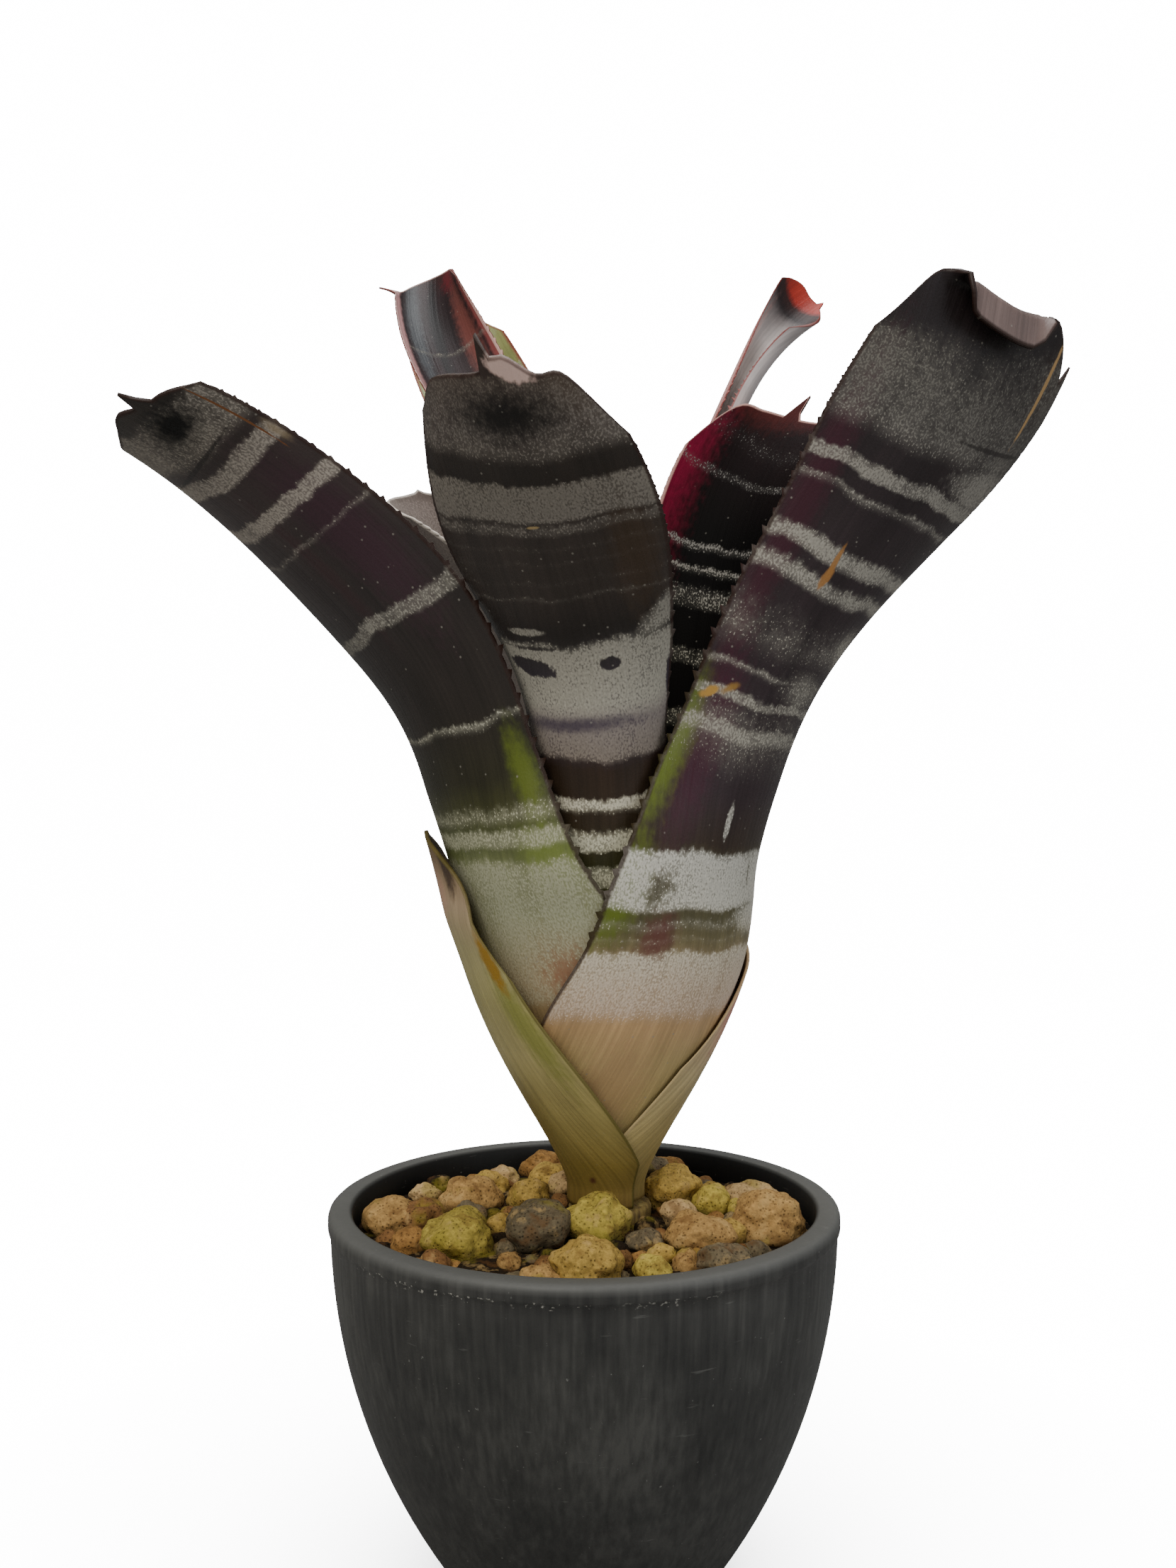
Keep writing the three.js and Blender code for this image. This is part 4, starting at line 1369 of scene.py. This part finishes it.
@dataclass(frozen=True)
class PotPlastic:
    """Injection-moulded polypropylene, nearly black and handled for years.

    Faint upright streaks, a few scuffs and pale dust under the rim break its dull gloss. The rim
    has a painted highlight with some dust, the wall has painted shade towards its foot, and the
    inner wall is painted near black as shade.
    """

    name: str = "moulded_polypropylene"

    def build(self) -> bpy.types.Material:
        """Makes the material on object coordinates.

        Returns:
            The material.
        """
        material, tree = empty_material(self.name)
        place = add(tree, "TexCoord").outputs["Object"]
        parts = add(tree, "SeparateXYZ", {0: place})
        height = parts.outputs[2]
        streaks = cloud(tree, stretched(tree, place, (700.0, 700.0, 16.0)), 1.0, 5.0)
        patches = cloud(tree, place, 30.0, 5.0, 0.6)
        mixed = calc(tree, "MULTIPLY_ADD", streaks, 0.6, patches)
        base = add(
            tree, "ValToRGB", {0: mixed},
            stops=[(0.6, linear("242423")), (0.8, linear("343432")), (1.0, linear("464643"))],
        )
        # Painted shade: the wall is painted darker towards the foot and paler towards the rim.
        color = dimmed(tree, base.outputs[0], span(tree, height, 0.0, POT_HEIGHT * MM, 0.55, 1.1))
        # Painted highlight with some dust: the upward-facing rim is painted paler.
        rim = span(tree, height, (POT_HEIGHT - 2.4) * MM, (POT_HEIGHT - 0.3) * MM, 0.0, 0.75)
        color = tinted(tree, rim, color, linear("626360"))
        across = add(tree, "CombineXYZ", {0: parts.outputs[0], 1: parts.outputs[1]})
        radius = add(tree, "VectorMath", {0: across.outputs[0]}, operation="LENGTH").outputs["Value"]
        # Painted shade: the inner wall above the gravel is painted near black.
        within = span(tree, radius, (MOUTH_RADIUS + 0.9) * MM, MOUTH_RADIUS * MM, 0.0, 0.92)
        inner = calc(tree, "MULTIPLY", within, calc(tree, "GREATER_THAN", height, 70 * MM))
        color = tinted(tree, inner, color, linear("08090a"))

        # Dust in the step under the rim, scuffs in short strokes and single pale marks.
        dust_noise = cloud(tree, place, 900.0, 3.0)
        dust = span(tree, dust_noise, 0.6, 0.68, 0.0, 0.7)
        for part in (
            calc(tree, "COMPARE", height, (POT_HEIGHT - RIM_BAND) * MM, 0.8 * MM),
            calc(tree, "GREATER_THAN", radius, (RIM_RADIUS - 1.5) * MM),
            span(tree, cloud(tree, place, 45.0, 2.0), 0.5, 0.62, 0.0, 1.0),
        ):
            dust = calc(tree, "MULTIPLY", dust, part)
        strokes = cloud(tree, stretched(tree, place, (120.0, 120.0, 900.0)), 1.0, 3.0)
        scuffs = span(tree, strokes, 0.7, 0.78, 0.0, 0.35)
        marks = span(tree, dust_noise, 0.72, 0.76, 0.0, 0.4)
        for amount, tint in ((dust, "b5b3aa"), (scuffs, "6f706c"), (marks, "8f908c")):
            color = tinted(tree, amount, color, linear(tint))
        rough = span(tree, patches, 0.3, 0.7, 0.5, 0.64)
        finish_coat(tree, color, rough, (mixed, 0.25, 0.0002), ior=1.49, shine=0.35)
        return material


@dataclass
class Pot:
    """The bowl-shaped pot: its wall, the proud band under the rim and the slotted foot."""

    steps: int = 160
    slots: int = 6
    slot_size: tuple[float, float] = (12.0, 3.6)
    slot_radius: float = 17.0
    finish: PotPlastic = PotPlastic()

    @staticmethod
    def wall_radius(depth: float) -> float:
        """Gives the outer radius at a depth under the rim."""
        down, round_ = BOWL_POWERS
        return BOWL_RADIUS * (1 - (depth / BOWL_DEPTH) ** down) ** (1 / round_)

    def profile(self) -> list[tuple[float, float]]:
        """Lists radius and height from the middle of the foot round to the inner floor.

        Returns:
            The corners of the profile.
        """
        depths = [83 - 4.0 * i for i in range(20)]
        outside = [(self.wall_radius(d), POT_HEIGHT - d) for d in depths]
        under = POT_HEIGHT - RIM_BAND
        outside += [(self.wall_radius(RIM_BAND), under - 0.1), (RIM_RADIUS - 0.15, under + 0.35)]
        rim = [
            (RIM_RADIUS, under + 0.9), (RIM_RADIUS, POT_HEIGHT - 1.5), (RIM_RADIUS - 0.25, POT_HEIGHT - 0.7),
            (RIM_RADIUS - 0.8, POT_HEIGHT - 0.2), (RIM_RADIUS - 1.6, POT_HEIGHT),
            (MOUTH_RADIUS + 1.2, POT_HEIGHT), (MOUTH_RADIUS + 0.4, POT_HEIGHT - 0.25),
            (MOUTH_RADIUS, POT_HEIGHT - 0.9),
        ]
        inside = [(self.wall_radius(d) - WALL, POT_HEIGHT - d) for d in (7, 17, 26, 38, 50, 60, 70)]
        foot = [(0.0, 0.0), (FOOT_RADIUS, 0.0), (FOOT_RADIUS + 0.8, 0.2), (FOOT_RADIUS + 1.3, 0.6)]
        return foot + outside + rim + inside + [(FOOT_RADIUS - 2, FLOOR), (0.0, FLOOR)]

    def build(self) -> bpy.types.Object:
        """Spins the profile and cuts the drain slots.

        Returns:
            The pot.
        """
        bm = bmesh.new()
        lathe(bm, self.profile(), self.steps)
        pot = place_piece("moulded_pot", bm, [self.finish.build()], "pot")
        self.cut_slots(pot)
        return pot

    def cut_slots(self, pot: bpy.types.Object) -> None:
        """Cuts the slots through the foot and applies the cut.

        Args:
            pot: The spun pot.
        """
        bm = bmesh.new()
        for i in range(self.slots):
            turn = Matrix.Rotation(2 * math.pi * i / self.slots, 4, "Z")
            move = Matrix.Translation((self.slot_radius, 0.0, 0.0))
            size = Matrix.Diagonal((*self.slot_size, 4 * FLOOR, 1.0))
            bmesh.ops.create_cube(bm, size=1.0, matrix=turn @ move @ size)
        bmesh.ops.scale(bm, vec=Vector((MM, MM, MM)), verts=bm.verts)
        cutter = put_in_scene("slots", finished_mesh("slots", bm))
        cut = pot.modifiers.new("slots", "BOOLEAN")
        cut.operation = "DIFFERENCE"
        cut.object = cutter
        bpy.context.view_layer.update()
        done = bpy.data.meshes.new_from_object(pot.evaluated_get(bpy.context.evaluated_depsgraph_get()))
        pot.modifiers.clear()
        pot.data = done
        bpy.data.objects.remove(cutter)


@dataclass(frozen=True)
class PumiceStone:
    """Weathered pumice: fine open pores with painted shade in them, brown stains in the hollows, dead matt.

    Each stone has its own tone from the stone attribute, which also holds painted shade on the
    stone's underside and in its pits, so the heap looks mixed.
    """

    name: str = "weathered_pumice"

    def build(self) -> bpy.types.Material:
        """Makes the material on object coordinates and the stone attribute.

        Returns:
            The material.
        """
        material, tree = empty_material(self.name)
        place = add(tree, "TexCoord").outputs["Object"]
        tone = add(tree, "Attribute", attribute_name="stone").outputs["Color"]
        broad = cloud(tree, place, 210.0, 5.0, 0.6)
        fine = cloud(tree, place, 1100.0, 4.0, 0.7)
        color = dimmed(tree, tone, span(tree, fine, 0.3, 0.7, 0.66, 1.28))
        brown = span(tree, broad, 0.52, 0.66, 0.0, 0.6)
        pale = span(tree, broad, 0.44, 0.34, 0.0, 0.45)
        mossy = span(tree, cloud(tree, place, 120.0, 3.0), 0.58, 0.68, 0.0, 0.45)
        for share, tint in ((brown, "5e4022"), (pale, "bfa06a"), (mossy, "8a7f2a")):
            color = tinted(tree, share, color, linear(tint))
        # Painted shade: the colour is darkened in each pore.
        pores = add(tree, "TexVoronoi", {"Vector": place, "Scale": 1100.0, "Randomness": 1.0})
        hole = span(tree, pores.outputs["Distance"], 0.1, 0.34, 0.45, 1.0)
        height = calc(tree, "MULTIPLY_ADD", fine, 0.8, hole)
        finish_coat(tree, dimmed(tree, color, hole), 0.95, (height, 0.8, 0.0004), shine=0.15)
        return material


class StoneTone(Enum):
    """Tones of the stones."""

    TAN = "a58350"
    OCHRE = "b0924c"
    YELLOW_GREEN = "ad9a48"
    GREY = "6a5f49"
    RUST = "96703f"
    BROWN = "7c5a36"
    PALE = "b89a6c"
    DARK = "231a10"


@dataclass
class Gravel:
    """The gravel filling: a solid fill under stones and grit that sit in its top.

    stones lists direction in degrees, distance from the middle, radius and tone. swell makes the
    drawn stones touch.
    """

    level_edge: float = POT_HEIGHT - 7.0
    level_middle: float = POT_HEIGHT - 3.0
    rise: float = 0.42
    hole_radius: float = 10.8
    gap: float = 0.3
    swell: float = 1.1
    tries: int = 60
    grit_tries: int = 2600
    grit_reach: float = 52.6
    steps: int = 96
    finish: PumiceStone = PumiceStone()
    stones: tuple[tuple[float, float, float, StoneTone], ...] = (
        (-177, 47, 6.2, StoneTone.TAN), (-173, 39, 5.6, StoneTone.BROWN), (150, 47, 3.2, StoneTone.PALE),
        (158, 30, 6.8, StoneTone.TAN), (141, 52, 3.3, StoneTone.DARK), (134, 36, 4.6, StoneTone.OCHRE),
        (-146, 34, 6.9, StoneTone.YELLOW_GREEN), (-151, 22, 3.0, StoneTone.OCHRE),
        (-126, 29, 2.6, StoneTone.GREY), (155, 15, 4.8, StoneTone.OCHRE), (110, 27, 5.0, StoneTone.OCHRE),
        (104, 54, 5.0, StoneTone.RUST), (-117, 21, 6.7, StoneTone.GREY),
        (-82, 18, 6.6, StoneTone.YELLOW_GREEN), (-117, 35, 2.6, StoneTone.TAN),
        (25, 24, 6.5, StoneTone.OCHRE), (62, 51, 4.8, StoneTone.RUST),
        (9, 31, 4.3, StoneTone.YELLOW_GREEN), (-18, 23, 3.8, StoneTone.PALE),
        (-39, 33, 5.9, StoneTone.TAN), (-24, 36, 3.3, StoneTone.OCHRE),
        (6, 37, 3.1, StoneTone.YELLOW_GREEN), (15, 43, 5.9, StoneTone.PALE), (-11, 45, 7.5, StoneTone.TAN),
        (-60, 27, 3.2, StoneTone.GREY), (-60, 33, 2.6, StoneTone.OCHRE), (34, 39, 3.1, StoneTone.OCHRE),
        (-39, 43, 2.8, StoneTone.BROWN), (-76, 33, 2.6, StoneTone.BROWN), (-56, 39, 3.1, StoneTone.TAN),
    )

    def places(self) -> list[tuple[float, float, float, StoneTone]]:
        """Places the larger stones, then small ones where there is room.

        Returns:
            x, y, radius and tone of each stone.
        """
        state = SCATTER_START
        found = []
        for turn, away, r, tone in self.stones:
            reach = min(away, MOUTH_RADIUS - 1.5 - 1.25 * r)
            way = math.radians(turn)
            found.append((reach * math.cos(way), reach * math.sin(way), r, tone))
        tones = [tone for tone in StoneTone if tone is not StoneTone.DARK]
        for i in range(self.tries):
            draws = []
            for _ in range(2):
                state = (state * SCATTER_FACTOR + SCATTER_STEP) % SCATTER_RANGE
                draws.append(state / SCATTER_RANGE)
            away = 46 * math.sqrt((i + 0.5) / self.tries) + 3 * draws[0]
            r = 3.6 + 3.2 * draws[1] ** 2
            x, y = away * math.cos(i * GOLDEN_ANGLE), away * math.sin(i * GOLDEN_ANGLE)
            clear = all(math.hypot(px - x, py - y) > 0.92 * (pr + r) for px, py, pr, _ in found)
            stands = math.hypot(x - PLANT_X, y) > self.hole_radius + r + 0.5
            if clear and stands and away < MOUTH_RADIUS - 1.5 - 1.25 * r:
                found.append((x, y, r, tones[i % len(tones)]))
        return found

    def grit_places(
        self, taken: list[tuple[float, float, float, StoneTone]]
    ) -> list[tuple[float, float, float]]:
        """Finds room for grit between the stones.

        Args:
            taken: The stones.

        Returns:
            x, y and radius of each piece of grit.
        """
        draw = random.Random(41)
        found: list[tuple[float, float, float]] = []
        for _ in range(self.grit_tries):
            away, turn = self.grit_reach * math.sqrt(draw.random()), draw.uniform(0, 2 * math.pi)
            r = draw.uniform(1.8, 3.4)
            x, y = away * math.cos(turn), away * math.sin(turn)
            if math.hypot(x - PLANT_X, y) < self.hole_radius + r + 0.6 or away + r > self.grit_reach + 0.3:
                continue
            if any(math.hypot(px - x, py - y) < 0.86 * pr + 0.8 * r for px, py, pr, _ in taken):
                continue
            if any(math.hypot(px - x, py - y) < 0.95 * (pr + r) for px, py, pr in found):
                continue
            found.append((x, y, r))
        return found

    def level(self, x: float, y: float) -> float:
        """Gives the height of the fill at a place."""
        t = smooth(self.hole_radius, 46.0, math.hypot(x - PLANT_X, y))
        return self.level_middle + (self.level_edge - self.level_middle) * t

    def add_stone(
        self, bm: bmesh.types.BMesh, middle: Vector, radius: float, detail: int, tone: StoneTone, seed: int
    ) -> None:
        """Adds one lumpy, pitted stone.

        Args:
            bm: Mesh that gets it.
            middle: Its middle in mm.
            radius: Its mean radius.
            detail: Subdivisions of the icosphere that it starts as.
            tone: Its colour.
            seed: Number that makes its form its own.
        """
        layer = bm.verts.layers.float_color["stone"]
        made = bmesh.ops.create_icosphere(bm, subdivisions=detail, radius=1.0)["verts"]
        draw = random.Random(seed)
        stretch = Vector((draw.uniform(0.95, 1.2), draw.uniform(0.82, 1.02), draw.uniform(0.74, 0.92)))
        turn = Matrix.Rotation(draw.uniform(0, 2 * math.pi), 3, "Z")
        start = Vector((seed * 3.7, seed * 1.3, seed * 0.7))
        bright = draw.uniform(0.85, 1.15)
        red, green, blue, _ = linear(tone.value)
        for vert in made:
            way = vert.co.normalized()
            lumps = noise.noise(way * 1.2 + start) * 0.3 + noise.noise(way * 2.6 + start) * 0.12
            pits = noise.fractal(way * 6.0 + start, 0.9, 2.1, 4) * 0.035
            shape = way * (1 + lumps + pits)
            wide = Vector((shape.x * stretch.x, shape.y * stretch.y, shape.z * stretch.z))
            vert.co = turn @ wide * radius * self.swell + middle
            # Painted shade: each stone's tone is darkened on its underside and where its surface dips into
            # pits.
            worn = bright * (1 + 7 * pits) * (0.22 + 0.78 * smooth(-0.75, 0.35, shape.z))
            vert[layer] = (red * worn, green * worn, blue * worn, 1.0)

    def build(self) -> bpy.types.Object:
        """Models the fill, the stones and the grit as one piece.

        Returns:
            The gravel.
        """
        bm = bmesh.new()
        layer = bm.verts.layers.float_color.new("stone")
        depths = (70, 60, 50, 38, 26, 17, 7)
        inside = [(Pot.wall_radius(d) - WALL - self.gap, POT_HEIGHT - d) for d in depths]
        top = [(30.0, (self.level_edge + self.level_middle) / 2), (0.0, self.level_middle)]
        profile = [(0.0, FLOOR + self.gap), (FOOT_RADIUS - 2 - self.gap, FLOOR + self.gap), *inside, *top]
        lathe(bm, profile, self.steps)
        # Painted shade: the fill, which shows only in the gaps between the stones, takes the darkest tone.
        dark = linear(StoneTone.DARK.value)
        for vert in bm.verts:
            vert[layer] = dark
        stones = self.places()
        for i, (x, y, r, tone) in enumerate(stones):
            middle = Vector((x, y, self.level(x, y) + self.rise * r))
            self.add_stone(bm, middle, r, 5 if r > 5.5 else 4, tone, i)
        tones = (StoneTone.DARK, StoneTone.BROWN, StoneTone.GREY, StoneTone.RUST)
        for i, (x, y, r) in enumerate(self.grit_places(stones)):
            middle = Vector((x, y, self.level(x, y) - 0.1 * r))
            self.add_stone(bm, middle, r, 3, tones[i % len(tones)], 200 + i)
        return place_piece("pumice_top_and_fill", bm, [self.finish.build()], "pumice_gravel")


@dataclass(frozen=True)
class StockBark:
    """The woody base of the stock: dry scale leaves, fibrous and dull, in tan and olive."""

    name: str = "fibrous_stock"

    def build(self) -> bpy.types.Material:
        """Makes the material on object coordinates.

        Returns:
            The material.
        """
        material, tree = empty_material(self.name)
        place = add(tree, "TexCoord").outputs["Object"]
        fibres = cloud(tree, stretched(tree, place, (1200.0, 1200.0, 90.0)), 1.0, 5.0)
        tone = calc(tree, "ADD", fibres, cloud(tree, place, 240.0, 3.0))
        base = add(
            tree, "ValToRGB", {0: calc(tree, "MULTIPLY", tone, 0.5)},
            stops=[(0.35, linear("4a3a1e")), (0.5, linear("7a6634")), (0.65, linear("96854e"))],
        )
        finish_coat(tree, base.outputs[0], 0.78, (fibres, 0.6, 0.0004))
        return material


@dataclass
class Stock:
    """The short stock that carries the leaves, widest in a ring just under them."""

    steps: int = 72
    finish: StockBark = StockBark()

    def build(self) -> bpy.types.Object:
        """Spins the stock and roughens the part under the leaves.

        Returns:
            The stock.
        """
        outline = [
            (0, 60.3), (5.5, 60.3), (8.8, CROWN - 18), (9.2, CROWN - 13.5), (9.6, CROWN - 9),
            (9.8, CROWN - 5.4), (9.3, CROWN - 4.6), (7.2, CROWN - 4.2), (7, CROWN - 0.2), (6, CROWN + 2.6),
            (5.2, CROWN + 6), (4.2, CROWN + 10), (3.4, CROWN + 16), (2.6, CROWN + 21), (0, CROWN + 22),
        ]
        bm = bmesh.new()
        lathe(bm, outline, self.steps)
        for vert in bm.verts:
            if vert.co.z < CROWN - 4.4 and vert.co.xy.length > 5:
                vert.co.xy *= 1 + 0.03 * noise.noise(vert.co * 0.35)
        bmesh.ops.translate(bm, vec=Vector((PLANT_X, 0.0, 0.0)), verts=bm.verts)
        return place_piece("fibrous_stock", bm, [self.finish.build()], "stock")


@dataclass
class Studio:
    """Pale sweep, soft lights and the camera. Lengths are in metres."""

    floor_size: float = 3.0
    floor_drop: float = 0.0005
    sweep_radius: float = 0.5
    wall_height: float = 2.0
    backdrop: float = 16.0
    sky: float = 0.3

    def build_floor(self) -> None:
        """Models the floor and the backdrop as one sweep."""
        bm = bmesh.new()
        half = self.floor_size / 2
        corner = bm.verts.new((-half, -half, -self.floor_drop))
        back = bm.verts.new((-half, half - self.sweep_radius, -self.floor_drop))
        bm.edges.new((corner, back))
        spun = bmesh.ops.spin(
            bm, geom=[back], cent=(-half, half - self.sweep_radius, self.sweep_radius - self.floor_drop),
            axis=(1, 0, 0), angle=math.pi / 2, steps=24,
        )
        last = [v for v in spun["geom_last"] if isinstance(v, bmesh.types.BMVert)][0]
        wall = bm.verts.new((last.co.x, last.co.y, last.co.z + self.wall_height))
        bm.edges.new((last, wall))
        made = bmesh.ops.extrude_edge_only(bm, edges=list(bm.edges))
        moved = [v for v in made["geom"] if isinstance(v, bmesh.types.BMVert)]
        bmesh.ops.translate(bm, vec=Vector((self.floor_size, 0.0, 0.0)), verts=moved)
        bmesh.ops.recalc_face_normals(bm, faces=bm.faces)
        for face in bm.faces:
            face.smooth = True
        mesh = finished_mesh("pale_floor", bm)
        mesh.materials.append(self.paper())
        floor = put_in_scene("pale_floor", mesh)
        LOG.info("floor ready, %d faces", len(mesh.polygons))

    def paper(self) -> bpy.types.Material:
        """Makes the paper, so bright for the camera that only a soft painted shadow at the pot shows.

        Returns:
            The material.
        """
        material, tree = empty_material("matt_paper_sweep")
        paper = add(
            tree, "BsdfPrincipled",
            {"Base Color": linear("9a9a98"), "Roughness": 0.9, "Specular IOR Level": 0.1},
        )
        # Painted shadow: ambient occlusion dims the paper's glow round the pot.
        shadow = add(tree, "AmbientOcclusion", {"Distance": 0.14}, samples=8)
        soft = calc(tree, "POWER", shadow.outputs["AO"], 1.6)
        bright = calc(tree, "MULTIPLY", soft, self.backdrop)
        glow = add(tree, "Emission", {0: linear("ffffff"), 1: bright})
        seen = add(tree, "LightPath").outputs["Is Camera Ray"]
        shader = add(tree, "MixShader", {0: seen, 1: paper.outputs[0], 2: glow.outputs[0]})
        add(tree, "OutputMaterial", {0: shader.outputs[0]})
        return material

    def add_light(self, name: str, place: Vector, aim: Vector, size: float, power: float, tint: str) -> None:
        """Adds one soft light.

        Args:
            name: Name of the light.
            place: Where it stands.
            aim: Point that it faces.
            size: Side of its square.
            power: Its power in watts.
            tint: Its colour.
        """
        light = bpy.data.lights.new(name, "AREA")
        light.size = size
        light.energy = power
        light.color = linear(tint)[:3]
        lamp = put_in_scene(name, light)
        lamp.location = place
        lamp.rotation_euler = (aim - place).to_track_quat("-Z", "Y").to_euler()

    def build_world(self) -> None:
        """Sets up the sky: bright for the camera, and dim as a light."""
        world = bpy.data.worlds.new("studio")
        world.use_nodes = True
        tree = world.node_tree
        tree.nodes.clear()
        seen = add(tree, "LightPath").outputs["Is Camera Ray"]
        bright = calc(tree, "MULTIPLY_ADD", seen, self.backdrop, self.sky)
        sky = add(tree, "Background", {0: linear("ffffff"), 1: bright})
        add(tree, "OutputWorld", {0: sky.outputs[0]})
        bpy.context.scene.world = world

    def build_camera(self) -> None:
        """Sets up the camera as the photograph's perspective has it."""
        camera = bpy.data.cameras.new("camera")
        camera.sensor_width = SENSOR
        camera.lens = FOCAL_PIXELS * SENSOR / IMAGE_SIZE[1]
        camera.clip_start = 0.01
        camera.clip_end = 20.0
        eye = put_in_scene("camera", camera)
        eye.location = Vector(CAMERA_PLACE) * MM
        eye.rotation_euler = (math.radians(CAMERA_PITCH), 0.0, 0.0)
        bpy.context.scene.camera = eye

    def build(self) -> None:
        """Sets up the floor, the lights, the sky and the camera."""
        self.build_floor()
        aim = Vector((0.0, 0.0, 0.19))
        self.add_light("key", Vector((-0.45, -1.0, 1.1)), aim, 0.9, 16.0, "fffaf2")
        self.add_light("fill", Vector((1.0, -0.8, 0.5)), aim, 0.9, 5.0, "f4f8ff")
        self.add_light("top", Vector((0.1, 0.2, 1.4)), aim, 1.0, 12.0, "ffffff")
        self.build_world()
        self.build_camera()


def main() -> None:
    """Builds every sub-assembly in order."""
    logging.basicConfig(level=logging.INFO, format="%(name)s %(message)s")
    Pot().build()
    Gravel().build()
    Stock().build()
    for leaf in LEAVES:
        leaf.build()
    Studio().build()


if __name__ == "__main__":
    main()
